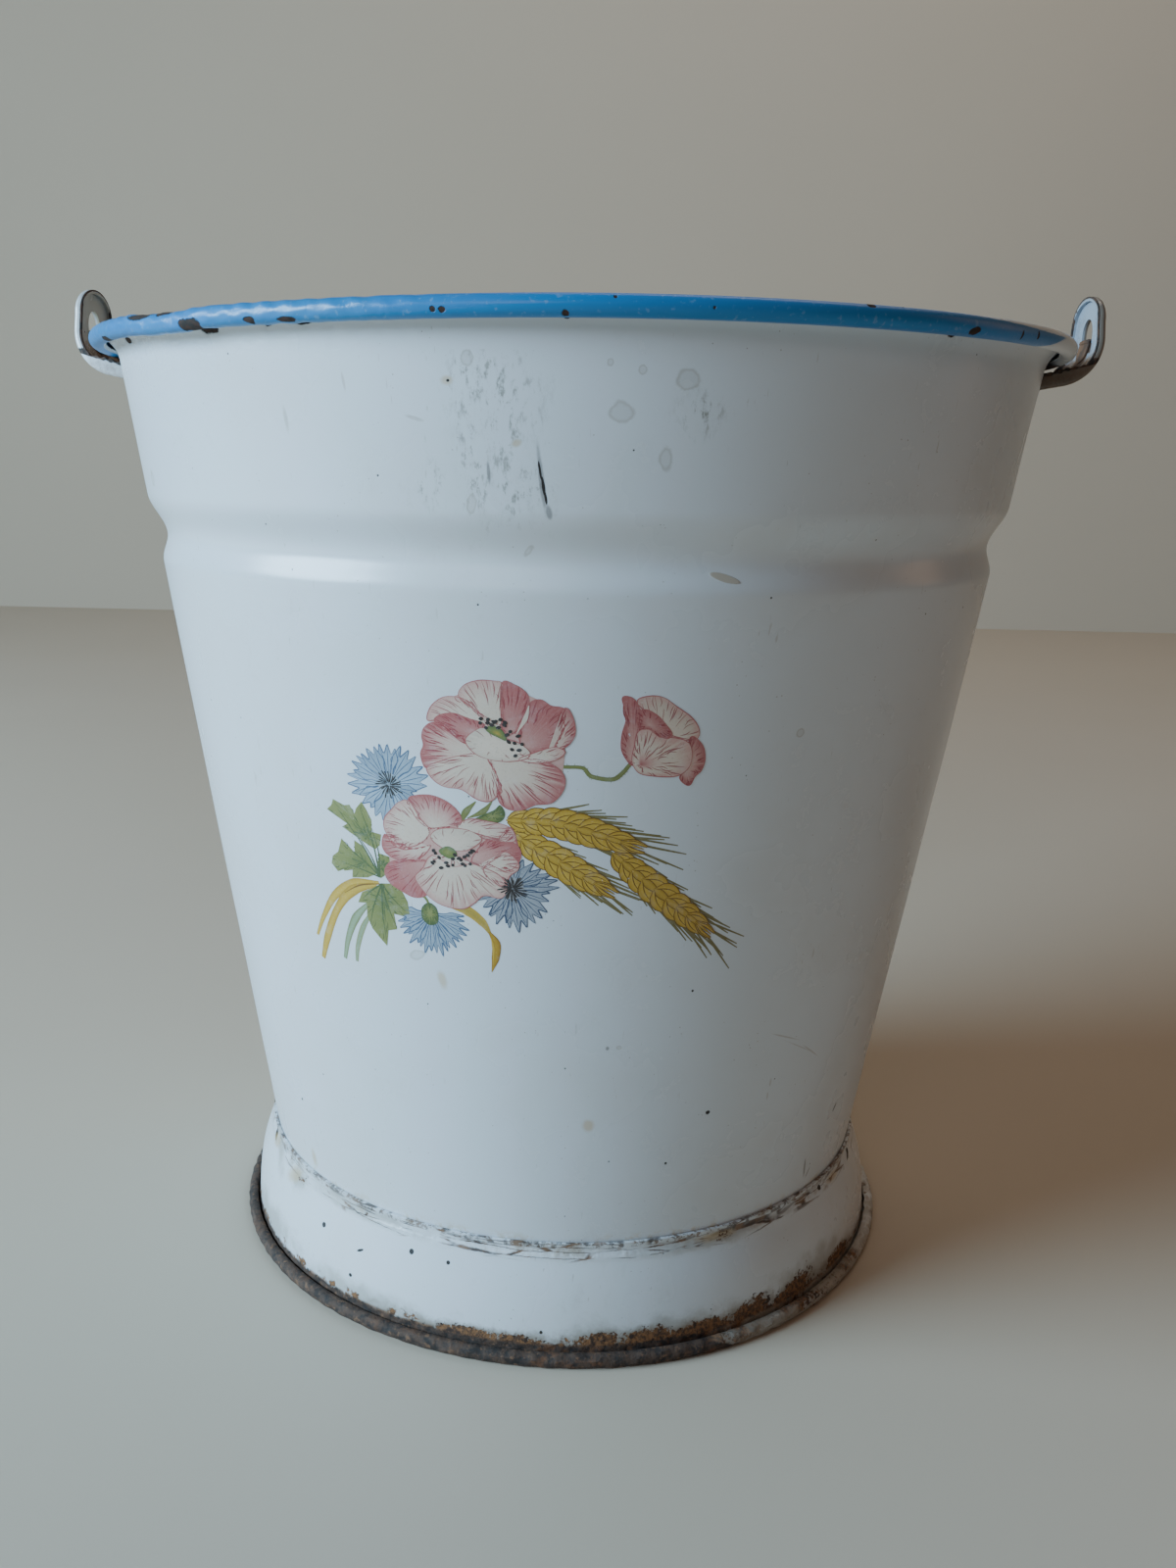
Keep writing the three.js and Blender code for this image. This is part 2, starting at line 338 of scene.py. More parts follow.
# ---- finishes ----
def worn_enamel(net, white, marks, dirt=1.0):
    """White enamel's colour, roughness and height, aged by clouds, pits and the marks listed by kind."""
    flat_noise = net.noise(9, 5, 0.6)
    ragged = (flat_noise - 0.5) * 1.5
    cloud = net.noise(55, 4, 0.55).step(0.42, 0.72)
    grime = net.noise(7, 6, 0.7, bend=0.6).step(0.52, 0.8) * net.noise(38, 2).step(0.45, 0.7)
    colour = net.mix(cloud * 0.3 * dirt, white, DUST)
    colour = net.mix(grime * 0.3 * dirt, colour, GREY_STAIN)
    pit = net.cells(6.5).step(0.05, 0.028) * net.noise(14, 1).step(0.56, 0.6)
    tiny = net.cells(2.2).step(0.095, 0.05) * net.noise(9, 2).step(0.5, 0.64)
    colour = net.mix(tiny * 0.75, colour, SPECK)
    hair = net.node("ShaderNodeMapping", {}, {"Vector": net.mm, "Rotation": (0, 0.5, 0),
        "Scale": (1.0, 1.0, 0.07)})
    hair = net.noise(1.1, 2, 0.5, hair).step(0.69, 0.75) * net.noise(30, 2).step(0.5, 0.62)
    colour = net.mix(hair * 0.42, colour, GREY_STAIN)
    colour = net.mix(pit, colour, BLACK_CHIP)
    rough = 0.24 + cloud * 0.08 + grime * 0.25
    height = flat_noise * 0.25 - pit * 1.2 - tiny * 0.5
    for kind, where in marks.items():
        tone, share, roughness, edge, depth, wild = KINDS[kind]
        found = net.spots(where, ragged * wild, edge, hollow=kind == "ring")
        if kind == "scuff":
            brushed = net.node("ShaderNodeMapping", {}, {"Vector": net.mm, "Scale": (1.0, 1.0, 0.4)})
            found = found * net.noise(2.0, 5, 0.8, brushed).step(0.5, 0.64)
        colour = net.mix(found * share, colour, tone)
        rough = net.blend(found * share, rough, roughness)
        if depth:
            height = height - found * depth
    return colour, rough, height


# Each kind of mark: its colour, how much it covers, its roughness, the softness of its edge, its depth in the
# surface (below 0 it stands up), and how ragged it is.
KINDS = {
    "scuff": ((0.26, 0.25, 0.22), 0.85, 0.45, 0.85, 0.0, 1.8),
    "stain": (OCHRE, 0.5, 0.3, 0.5, 0.0, 1.2),
    "ring": ((0.33, 0.28, 0.21), 0.5, 0.3, 0.2, 0.0, 1.6),
    "outline": ((0.36, 0.31, 0.27), 0.45, 0.3, 0.45, 0.0, 1.1),
    "scratch": ((0.16, 0.14, 0.13), 0.65, 0.4, 0.35, 0.0, 0.6),
    "grime": ((0.33, 0.31, 0.265), 0.62, 0.45, 0.8, 0.0, 2.4),
    "chip": (BLACK_CHIP, 1.0, 0.6, 0.1, 2.0, 0.8),
    "drip": ((0.47, 0.40, 0.30), 0.8, 0.2, 0.12, -1.5, 0.3),
}

# Places of marks: degrees round from the front, height, half width, half height, turn in degrees.
WALL_MARKS = {
    "scuff": [
        (-4.5, 268, 6, 14, 6), (-7.5, 262, 3.4, 18, 4), (-3.0, 253, 5, 9, 0), (14.0, 268, 4, 4, 0),
        (-12, 252, 3, 4, 0)],
    "stain": [
        (-14.3, 118.6, 1.2, 2.4, 10), (6.5, 75.5, 1.5, 1.8, 0), (-9.8, 274.4, 1.0, 0.9, 0),
        (-3.2, 260.7, 1.0, 0.8, 30), (-47.0, 40.0, 1.6, 3.0, 0)],
    "ring": [
        (6.75, 267.6, 2.2, 1.9, 10), (12.6, 274.9, 1.75, 2.1, 0), (11.05, 257.9, 1.4, 2.7, 4),
        (-7.8, 279.4, 1.0, 1.3, 0), (-7.8, 247.0, 0.8, 2.2, -6), (5.4, 278.6, 0.7, 1.0, 0),
        (8.4, 277.0, 0.8, 1.0, 0), (30.7, 189.3, 1.1, 1.2, 0), (-17.6, 125.4, 2.4, 1.3, 20),
        (10.4, 100.6, 1.0, 0.8, 0), (-60, 250, 1.6, 2.4, 0), (-2.3, 236.0, 1.0, 2.4, -35),
        (150, 262, 2.2, 2.6, 10), (-150, 200, 2.0, 3.0, 0)],
    "outline": [
        (-13.2, 266.0, 1.7, 0.4, -18), (38.0, 96.0, 6.0, 0.22, -22), (44.0, 88.5, 5.0, 0.2, -35),
        (41.0, 91.5, 6.5, 0.18, -28), (-28.0, 266.0, 0.5, 3.0, 4), (-20.5, 274.0, 0.25, 1.8, 6)],
    "scratch": [
        (-0.85, 253.0, 0.55, 7.6, 6), (-0.1, 245.2, 0.6, 1.6, 10), (-6.0, 254.0, 0.35, 2.6, 3),
        (50.1, 43.0, 0.5, 3.4, 12), (51.6, 40.2, 0.35, 1.8, -30), (8.7, 100.4, 0.5, 0.6, 0)],
    "chip": [
        (-1.0, 254.9, 0.26, 2.4, 8), (-0.65, 251.2, 0.3, 2.2, 7), (-0.4, 248.4, 0.24, 1.5, 8),
        (-9.7, 274.3, 0.3, 0.3, 0), (25.1, 76.5, 0.8, 0.7, 0), (56.9, 59.9, 0.5, 1.6, -35),
        (19.0, 61.0, 0.4, 0.4, 0), (-17.2, 156.8, 0.35, 0.35, 0), (-47.5, 61.0, 0.4, 0.4, 0),
        (20.2, 117.0, 0.3, 0.35, 0), (120.0, 180.0, 1.4, 0.9, 0), (-140.0, 96.0, 0.9, 1.7, 20),
        (171.0, 214.0, 1.8, 0.8, -10), (-160.0, 50.0, 0.8, 0.8, 0)],
    "drip": [(18.7, 229.9, 3.6, 0.9, -18)],
}

RIM_CHIPS = [
    (-46.0, 290.9, 4.8, 0.9, 0), (-41.4, 291.0, 3.6, 0.7, 0), (-36.6, 287.5, 3.2, 1.4, 0),
    (-56.5, 287.0, 2.0, 0.8, 0), (-28.4, 287.6, 1.3, 0.7, 0), (-24.3, 287.4, 2.0, 0.5, 0),
    (-9.9, 288.7, 0.5, 0.6, 0), (-9.1, 288.6, 0.7, 0.7, 0), (1.3, 287.9, 0.7, 0.6, 0),
    (28.6, 291.9, 1.0, 0.5, 0), (41.2, 288.3, 1.4, 0.9, 10), (49.2, 288.8, 0.4, 1.1, 0),
    (52.6, 289.2, 0.5, 1.0, 0), (118, 289.0, 4.0, 1.6, 0), (151, 291.5, 2.6, 1.2, 0),
    (-128, 288.2, 3.0, 1.3, 0), (-162, 291.8, 2.0, 1.0, 0)]


def wall_enamel():
    """White enamel, soiled along its lower edge, with a tide line on its lining."""
    net = Net("white_enamel")
    colour, rough, height = worn_enamel(net, WHITE, WALL_MARKS)
    # Ochre has crept along the lower edge, inside and out.
    creep = net.z.step(38.5, 33.5) * net.noise(5, 5, 0.7).step(0.5, 0.62)
    middle_r = 96.02  # the middle of the sheet, carried down to the floor
    inside = net.r - (net.z * TAPER + middle_r)
    lining = inside.step(0.2, -0.2) * net.z.step(231, 225) + inside.step(-2.2, -2.8) * net.z.step(225, 231)
    tide = (net.z + (net.noise(30, 4) - 0.5) * 16.0).step(64, 52) * lining
    colour = net.mix(creep * 0.55, colour, OCHRE)
    colour = net.mix(tide * 0.35, colour, OCHRE)
    return net.finish(colour, rough, height, 0.35, 0.25)


def rim_enamel():
    """The blue coat over the white one: where it ends on the roll, where it is thin, where it has gone."""
    net = Net("blue_rim_enamel")
    white, rough, height = worn_enamel(net, WHITE, {}, 0.8)
    out, up = net.r - (RIM_R - RIM_BEAD_R), net.z - RIM_Z
    turn = up.math("ARCTAN2", out) * (180 / np.pi)
    ragged = net.noise(3.0, 5, 0.65) - 0.5
    # The blue ends behind the roll's top on the left and slips lower towards the right ear.
    near_ear = net.angle.step(118, 84)
    end = 122.0 - (net.angle.step(-8, 30) * 40 + net.angle.step(30, 58) * 62) * near_ear
    low = -128.0 + net.angle.step(48, 66) * near_ear * 175.0
    from_roll = (out * out + up * up).math("SQRT")
    coated = below(turn + ragged * 14.0, end, 7.0) * below(low, turn + ragged * 10.0, 6.0)
    blue = coated * from_roll.step(4.4, 3.4)
    lumpy = net.noise(4.5, 5, 0.6, bend=1.2)
    thin = (net.noise(26, 3).step(0.42, 0.62) * 0.4 + lumpy.step(0.5, 0.68) * 0.2) * net.angle.step(6, -20)
    tint = net.mix(thin.clamp(), BLUE, BLUE_THIN)
    tint = net.mix(net.noise(1.4, 2).step(0.6, 0.72) * 0.25, tint, BLUE_PALE)
    colour = net.mix(blue, white, tint)
    chips = net.spots(RIM_CHIPS, ragged * 1.5, 0.12)
    nicks = net.cells(7.0).step(0.075, 0.05) * net.noise(17, 1).step(0.5, 0.56) * turn.step(-140, -60)
    bare = chips.most(nicks)
    iron = net.mix(net.noise(1.6, 4, 0.7).step(0.4, 0.62), BLACK_CHIP, CHIP_BROWN)
    colour = net.mix(bare, colour, iron)
    rough = net.blend(bare, rough + blue * 0.09, 0.85)
    wrinkle = net.angle.step(4, -26) * lumpy
    return net.finish(colour, rough, height + wrinkle - bare * 2.2, 0.6, 0.3)


def below(value, limit, width):
    """1 where one changing value is under another, 0 over it, with a soft change of this width."""
    return ((limit - value) / width + 0.5).clamp()


FOOT_RUST = [
    (-11, 6.0, 9.0, 2.6, 0), (-3.6, 6.2, 6.0, 2.2, 0), (9.0, 7.0, 6.0, 4.6, 0), (16.6, 7.2, 9.0, 3.8, 0),
    (26, 6.6, 10, 3.4, 0), (35.5, 7.6, 9.0, 4.6, 20), (46, 9.0, 11.0, 5.0, 20), (60, 7.2, 9.0, 3.4, 0),
    (-50.5, 29.6, 4.2, 2.8, 10), (-56, 31.4, 5.0, 1.8, 10), (31.5, 31.3, 5.0, 2.2, 0),
    (-64, 32.5, 3.0, 3.2, 0), (120, 7, 9, 3.6, 0), (170, 8, 10, 4, 0), (-150, 6.6, 9, 3.2, 0),
    (-104, 7, 8, 3.4, 0), (-32, 31.2, 4.0, 1.4, 0)]
FOOT_MARKS = {
    "grime": [
        (-60, 9, 22, 4.5, 0), (-30, 7, 24, 3.5, 0), (20, 8, 30, 3.5, 0), (52, 10, 22, 4.5, 0),
        (-63, 31, 9, 2, -30), (-35, 31.5, 18, 1.6, 0), (30, 31.5, 20, 1.8, 0), (-52, 29, 5, 2.6, 0),
        (150, 8, 40, 4, 0), (-130, 9, 30, 4, 0)],
    "chip": [
        (-67.8, 31.0, 2.6, 1.0, -30), (-41.4, 22.4, 0.9, 0.8, 0), (-22.2, 26.0, 0.8, 0.7, 0),
        (-15.5, 25.6, 0.6, 0.5, 0), (-32.1, 21.0, 1.3, 0.35, 25), (-33.5, 12.3, 0.7, 0.6, 0),
        (0.1, 9.3, 0.5, 0.5, 0), (9.2, 7.4, 0.5, 0.5, 0), (56.2, 31.6, 1.1, 0.8, 0),
        (72.0, 30.6, 2.4, 0.6, 25), (150, 16, 1.2, 0.9, 0), (-120, 20, 1.0, 1.4, 0)],
    "scratch": [
        (-62, 32.0, 5.5, 0.35, -8), (-54, 32.6, 5.0, 0.3, -6), (-40, 33.4, 4.0, 0.5, 0),
        (-33, 32.6, 4.2, 0.45, -4), (-15, 33.6, 2.6, 0.5, 0), (24, 33.2, 3.0, 0.55, 4),
        (31, 32.8, 4.6, 0.6, 5), (37, 32.4, 4.4, 0.7, 6), (46, 32.0, 5.2, 0.5, 8), (60, 32.6, 4.4, 0.5, 8),
        (66, 31.4, 3.6, 0.45, 12), (-2, 33.6, 3.2, 0.25, 0)],
    "stain": [(-66, 30, 4, 1.6, 0), (-54, 29, 5, 2.4, 20), (30, 32, 7, 1.2, 0), (62, 31, 5, 1.2, 0)],
}


def foot_enamel():
    """White enamel that is cracked at its collar, and rusty and bare from its rolled edge upwards."""
    net = Net("foot_enamel")
    colour, rough, height = worn_enamel(net, WHITE, FOOT_MARKS, 1.1)
    fine = net.noise(2.6, 6, 0.7)
    broad = net.noise(16, 3, 0.5)
    # Cracks run round the collar, where wall and hoop meet under one coat.
    along = net.node("ShaderNodeCombineXYZ", {}, {"X": net.angle * 0.24, "Y": net.z * 1.7 + fine * 1.5})
    crack = net.cells(2.6, along, "DISTANCE_TO_EDGE").step(0.075, 0.02) * net.noise(9, 3).step(0.42, 0.54)
    seam = net.z.step(32.7, 33.3) * net.noise(2.4, 4, 0.7).step(0.5, 0.6)
    crack = (crack * net.z.step(28.8, 30.4)).most(seam * 0.85)
    soiled = net.z.step(28.5, 32.5) * net.noise(9, 5, 0.75).step(0.5, 0.66)
    colour = net.mix(soiled * 0.6, colour, SOIL)
    colour = net.mix(crack * 0.92, colour, net.mix(net.noise(4, 2).step(0.4, 0.6), CRACK_DARK, CRACK_BROWN))
    # The rolled edge has lost its enamel, most from the left side round to the front.
    front = net.angle.step(-100, -80) * net.angle.step(34, 22)
    behind = net.noise(40, 2).step(0.42, 0.52) * (1.0 - net.angle.step(-112, -96) * net.angle.step(100, 60))
    kept = net.angle.step(24, 36) * net.angle.step(118, 100)
    bare_top = 2.2 + (front.most(behind) * 3.2) - kept * 3.0
    worn = below(net.z + (fine - 0.5) * 3.4, bare_top, 0.7)
    inside = (net.r - 105.0).step(0.5, -0.5) * net.noise(9, 4).step(0.44, 0.56) * net.z.step(26, 6)
    near_edge = below(net.z + (fine - 0.5) * 9.0 + broad * 3.0, bare_top + 3.6, 0.6)
    speckle = near_edge * net.noise(5.5, 3).step(0.5, 0.56)
    edge_line = net.z.step(6.4, 5.4) * net.z.step(3.9, 4.6) * net.noise(3.4, 4).step(0.4, 0.5)
    near = net.spots(FOOT_RUST, (broad - 0.5) * 1.2, 0.85)
    at_front = net.angle.step(-44, -14) * net.angle.step(84, 58)
    climb = net.z.step(13.5, 4.0) * (at_front * 0.6 + 0.4 + (broad - 0.5) * 0.9)
    crumbs = (fine - 0.5) * 1.5 + (net.noise(0.9, 3, 0.6) - 0.5) * 1.2
    patchy = (near * 0.78 + climb * 0.64 + crumbs).step(0.78, 0.92)
    dirt = (climb * 1.1 + near * 0.5 + (net.noise(5, 4, 0.7) - 0.5) * 1.4).step(0.35, 1.1)
    colour = net.mix(dirt * 0.75, colour, SOOT)
    orange = speckle.most(edge_line * 0.85).most(patchy)
    crust = net.mix(net.noise(1.3, 4, 0.7).step(0.42, 0.62), CRUST, CRUST_DARK)
    colour = net.mix(orange, colour, net.mix(net.noise(2.3, 3).step(0.54, 0.66), crust, DARK_RUST))
    dull = net.z.step(5.6, 4.2) * kept * net.noise(7, 3).step(0.3, 0.55)
    colour = net.mix(dull * 0.7, colour, WORN_GREY)
    iron = net.mix(fine.step(0.36, 0.6), IRON, IRON_WORN)
    iron = net.mix(net.noise(1.7, 4).step(0.56, 0.7) * 0.85, iron, IRON_BROWN)
    reddish = net.noise(7, 4, 0.7).step(0.54, 0.66) * (net.angle.step(-30, 0) * 0.5 + 0.35)
    iron = net.mix(reddish, iron, IRON_RED)
    colour = net.mix(worn.most(inside * 0.8), colour, iron)
    bare = worn.most(orange * 0.8)
    lumps = net.noise(4.5, 3) * net.z.step(29, 31)
    height = height + bare * (fine * 3.0 - 2.6) - crack * 0.8 + lumps * 2.5
    return net.finish(colour, net.blend(bare, rough, 0.82), height, 0.6, 0.3)


def bottom_enamel():
    """Duller white enamel with an ochre ring and some rust towards its edge."""
    net = Net("bottom_enamel")
    colour, rough, height = worn_enamel(net, (0.64, 0.64, 0.62), {}, 1.5)
    ring = (net.r + (net.noise(14, 4) - 0.5) * 12.0).step(80, 97)
    colour = net.mix(ring * 0.6, colour, OCHRE)
    rust = ring * net.noise(4, 5, 0.7).step(0.52, 0.6)
    colour = net.mix(rust, colour, RUST)
    return net.finish(colour, rough + rust * 0.4, height - rust, 0.5, 0.3)


def ear_enamel(name, inner_tone_and_light, low_rust_and_shade, outer_tone_and_light):
    """A thin coat that has gone from the ear's edges: the colours of its inner face, of its low parts, and of
    its outer face. The low parts' colour is rust and painted shade under the rim; the face colours carry
    painted light."""
    net = Net(name)
    edge_line, within, low = (net.written(key) for key in ("edge", "within", "low"))
    fine = net.noise(1.8, 5, 0.7)
    soft = net.noise(6, 3)
    ragged = (fine - 0.5) * 1.1
    # Painted shade and rust: the inner face turns to the dark low colour towards the ear's lower part and
    # flap, near the rim.
    face = net.mix((low + ragged * 0.6).step(0.3, 0.75), inner_tone_and_light, low_rust_and_shade)
    face = net.mix(soft.step(0.5, 0.7) * 0.2, face, low_rust_and_shade)
    # Painted shade and rust on the outer face's lowest parts as well.
    skin = net.mix((low + ragged * 0.8).step(0.75, 1.25) * 0.5, outer_tone_and_light, low_rust_and_shade)
    skin = net.mix(soft.step(0.52, 0.68) * 0.35, skin, EAR_STAIN)
    colour = net.mix(within.step(0.35, 0.65), skin, face)
    iron = net.mix(fine.step(0.42, 0.6), BLACK_CHIP, EAR_IRON)
    line = (edge_line + ragged * 0.5).step(0.5, 0.7)
    nick = net.cells(4.0).step(0.13, 0.08) * net.noise(8, 2).step(0.54, 0.62)
    rusty = ((low + ragged).step(0.62, 1.0) * within.step(0.4, 0.6)).clamp()
    colour = net.mix(rusty * 0.9, colour, net.mix(soft.step(0.38, 0.56), EAR_RUST, DARK_RUST))
    bare = line.most(nick)
    colour = net.mix(bare, colour, iron)
    rough = 0.2 + (bare.most(rusty) * 0.5) + soft * 0.12
    return net.finish(colour, rough, fine * 0.4 - bare * 1.4, 0.5, 0.25)


# ---- the flower print ----
# A fired transfer: every petal, leaf and line is a thin closed shape that stands a few hundredths of a
# millimetre out of the wall. Places are (millimetres round the wall at a radius of 120, height).
PRINT_R = 120.0
LAYER = 0.012  # how much higher each layer lies
SUNK = 0.05  # how deep a shape's outline is sunk in the enamel

CREAM_PETAL = np.array((0.66, 0.54, 0.44))
PALE_PINK = np.array((0.58, 0.34, 0.295))
PINK = np.array((0.42, 0.13, 0.125))
RED_LINE = np.array((0.27, 0.035, 0.05))
LEAF = np.array((0.19, 0.21, 0.065))
LEAF_DARK = np.array((0.075, 0.115, 0.045))
LEAF_PALE = np.array((0.265, 0.27, 0.095))
STEM_BLUE_GREEN = np.array((0.25, 0.34, 0.22))
GOLD = np.array((0.46, 0.27, 0.03))
GOLD_PALE = np.array((0.60, 0.385, 0.06))
GOLD_DARK = np.array((0.17, 0.085, 0.012))
AWN = np.array((0.20, 0.165, 0.065))
SKY = np.array((0.31, 0.405, 0.49))
SKY_DEEP = np.array((0.075, 0.13, 0.22))
STEEL = np.array((0.34, 0.35, 0.385))
STEEL_DEEP = np.array((0.055, 0.08, 0.135))
INK = np.array((0.035, 0.03, 0.03))
SHADE = (0.12, 0.09, 0.08)


def on_wall(u, v, lift):
    """Points of the print: the angle is u over the print's radius, the radius is the wall's plus lift."""
    a = u / PRINT_R
    r = wall_r(v) + wave(a, v) + lift
    return np.stack([r * np.sin(a), -r * np.cos(a), v], -1)


class Transfer:
    """Gathers the print's shapes: their points, their places on the print, their colours, and their faces."""

    def __init__(self, seed):
        self.points, self.places, self.tints, self.top, self.under, self.count = [], [], [], [], [], 0
        self.rng = np.random.default_rng(seed)

    def add(self, u, v, lift, tint, faces):
        """Takes a grid of points in, and its faces numbered from its own first point."""
        self.points.append(on_wall(u.ravel(), v.ravel(), lift.ravel()))
        self.places.append(np.stack([u.ravel(), v.ravel()], 1))
        self.tints.append(np.broadcast_to(tint, (*u.shape, 3)).reshape(-1, 3))
        if faces is not None:
            self.top += (faces + self.count).tolist()
        self.count += u.size

    def line(self, path, width, layer, first, second=None, points=10, across=5):
        """A stroke: a smooth path, with half its width given at even shares of it, in the first colour at its
        middle and the second at its edges. Its section is a flat closed loop, sunk in the enamel below."""
        path = spline(path, points)
        side = to_left(ways(path))
        half = np.interp(np.linspace(0, 1, len(path)), np.linspace(0, 1, len(width)), width)
        t = np.concatenate([[-1], np.linspace(-1, 1, across - 1), [1]])
        across = len(t)
        u = path[:, :1] + side[:, :1] * half[:, None] * t
        v = path[:, 1:] + side[:, 1:] * half[:, None] * t
        crown = np.where((np.arange(across) == 0) | (np.arange(across) == across - 1), -SUNK, layer * LAYER)
        lift = np.broadcast_to(crown, u.shape)
        second = first if second is None else second
        share = (np.abs(t)[None, :, None] ** 1.5) * np.ones((len(path), 1, 1))
        begin = self.count
        self.add(u, v, lift, first + (second - first) * share, grid_faces(*u.shape))
        row = begin + np.arange(len(path)) * across
        self.under += np.stack([row[:-1] + across - 1, row[1:] + across - 1, row[1:], row[:-1]], 1).tolist()
        last = self.count - 1
        self.under += [list(range(begin, begin + across)), list(range(last, last - across, -1))]

    def patch(self, root, outline, layer, tints, sharp=False, streaks=(0, 0), fade=1.0, rings=8, around=84):
        """A petal or leaf: straight lines from its root to every point of its outline fill it. Colour runs
        from the first tint at the root to the last at the outline; streaks darken single lines of it."""
        edge = corners(outline, around) if sharp else spline(outline, around, closed=True)
        if np.sum(edge[:, 0] * np.roll(edge[:, 1], -1) - np.roll(edge[:, 0], -1) * edge[:, 1]) < 0:
            edge = edge[::-1]
        root = np.array(root, float)
        share = np.append(np.linspace(0, 1, rings - 1), 1.0)[:, None]
        u = root[0] + share * (edge[:, 0] - root[0])
        v = root[1] + share * (edge[:, 1] - root[1])
        lift = np.where(np.arange(rings)[:, None] == rings - 1, -SUNK, layer * LAYER) * np.ones(u.shape)
        count, strength = streaks
        turn = np.arange(around) / around * 2 * np.pi
        beats = (count, count * 1.7 // 1, count * 2.6 // 1)
        grain = sum(np.sin(turn * k + self.rng.uniform(0, 7)) for k in beats)
        mood = 0.5 + 0.5 * np.sin(turn * self.rng.integers(2, 5) + self.rng.uniform(0, 7))
        ripple = (grain / 3 + 0.3) * mood
        at = np.clip(share**fade + strength * ripple * share, 0, 1)[..., None]
        stops = np.linspace(0, 1, len(tints))
        tint = np.stack([np.interp(at[..., 0], stops, np.array(tints)[:, k]) for k in range(3)], -1)
        self.add(u, v, lift, tint, grid_faces(rings, around, wrap_columns=True))
        last = self.count - around
        self.add(np.full(around, root[0]), np.full(around, root[1]), np.full(around, -SUNK), tints[-1], None)
        j, k = np.arange(around), (np.arange(around) + 1) % around
        self.under += np.stack([last + k, last + j, last + around + j, last + around + k], 1).tolist()
        return root, edge

    def hatch(self, shape, count, layer, tint, start=(0.5, 0.8), stop=1.0, width=0.13):
        """Hair lines on a patch, each along the line from its root to a point of its outline."""
        root, edge = shape
        for k in np.linspace(0, len(edge), count, endpoint=False).astype(int):
            k = int(k + self.rng.integers(-2, 3)) % len(edge)
            low = self.rng.uniform(*start)
            high = min(stop, low + self.rng.uniform(0.2, 0.5))
            bend = self.rng.normal(0, 0.25, 2)
            a, b = root + low * (edge[k] - root), root + high * 0.99 * (edge[k] - root)
            mean = width * self.rng.uniform(0.5, 1.3)
            self.line([a, (a + b) / 2 + bend, b], (0.02, mean, mean, 0.03), layer, tint, points=6, across=3)

    def petal(self, root, outline, layer, tints, streaks=(17, 0.45), fade=1.6, lines=30, start=(0.5, 0.85)):
        """A poppy petal: a patch, hair lines on it, and a fine red line round its edge."""
        shape = self.patch(root, outline, layer, tints, streaks=streaks, fade=fade)
        self.hatch(shape, lines, layer + 1, tints[-1] * 0.3 + RED_LINE * 0.7, start)
        edge = shape[1]
        rim = np.concatenate([edge, edge[:1]])
        width = 0.05 + 0.12 * np.abs(np.sin(np.linspace(0, 9, 24) + self.rng.uniform(0, 6)))
        self.line(rim[::2], width * 0.8, layer + 1, PINK, points=80, across=3)

    def floret(self, middle, angle, length, spread, layer, pale, deep):
        """One trumpet of a cornflower: narrow at the middle, three pointed lobes, dark folds along them."""
        way = np.array([np.cos(angle), np.sin(angle)])
        side = np.array([-way[1], way[0]])
        middle = np.array(middle, float)

        def at(along, across):
            return middle + way * length * along + side * length * across

        t = np.linspace(-1, 1, 7)
        far = np.where(np.arange(len(t)) % 2, 1.0, 0.74) - 0.18 * t**2 + self.rng.uniform(-0.05, 0.05, len(t))
        ends = [at(f, spread * x * (0.55 + 0.45 * f)) for f, x in zip(far[::-1], t[::-1])]
        outline = [at(0.05, -0.05), at(0.4, -0.45 * spread), *ends[::-1]]
        outline += [at(0.4, 0.45 * spread), at(0.05, 0.05)]
        tints = (pale, pale, pale * 0.8 + deep * 0.2)
        edge = self.patch(at(0.35, 0), outline, layer, tints, True, (9, 0.5), 1.5, around=60)[1]
        edge = np.concatenate([edge, edge[:1]])
        self.line(edge[::2], 0.13 + 0.06 * np.sin(np.arange(9) * 1.7), layer + 0.5, deep, points=62, across=3)
        for x in t[1::2]:
            path = [at(0.2, 0.02 * x), at(0.55, spread * x * 0.42), at(0.85 - 0.1 * x * x, spread * x * 0.85)]
            self.line(path, (0.04, 0.13, 0.05), layer + 1, deep, points=7, across=3)

    def stamens(self, middle, count, length, layer):
        """Dark curved hairs round a cornflower's middle, each with a thick end."""
        for k in range(count):
            a = 2 * np.pi * k / count + self.rng.uniform(-0.08, 0.08)
            far = length * self.rng.uniform(0.55, 1.0)
            near = length * self.rng.uniform(0.05, 0.25)
            path = [np.array(middle) + d * np.array([np.cos(a + b), np.sin(a + b)])
                    for d, b in ((near, 0.0), ((near + far) / 2, 0.1), (far, 0.16))]
            self.line(path, (0.1, 0.14, 0.16, 0.24, 0.12), layer, INK, points=7, across=3)

    def cornflower(self, middle, florets, widen, pale, deep, fade=0.0):
        """Trumpets round a middle, each (degrees, length, spread), on three layers that get darker by fade.
        The number of degrees chooses the layer."""
        for angle, length, spread in florets:
            order = angle % 3
            tone = pale * (1 + fade - fade * order)
            self.floret(middle, np.radians(angle), length, spread * widen, 2 + order, tone, deep)

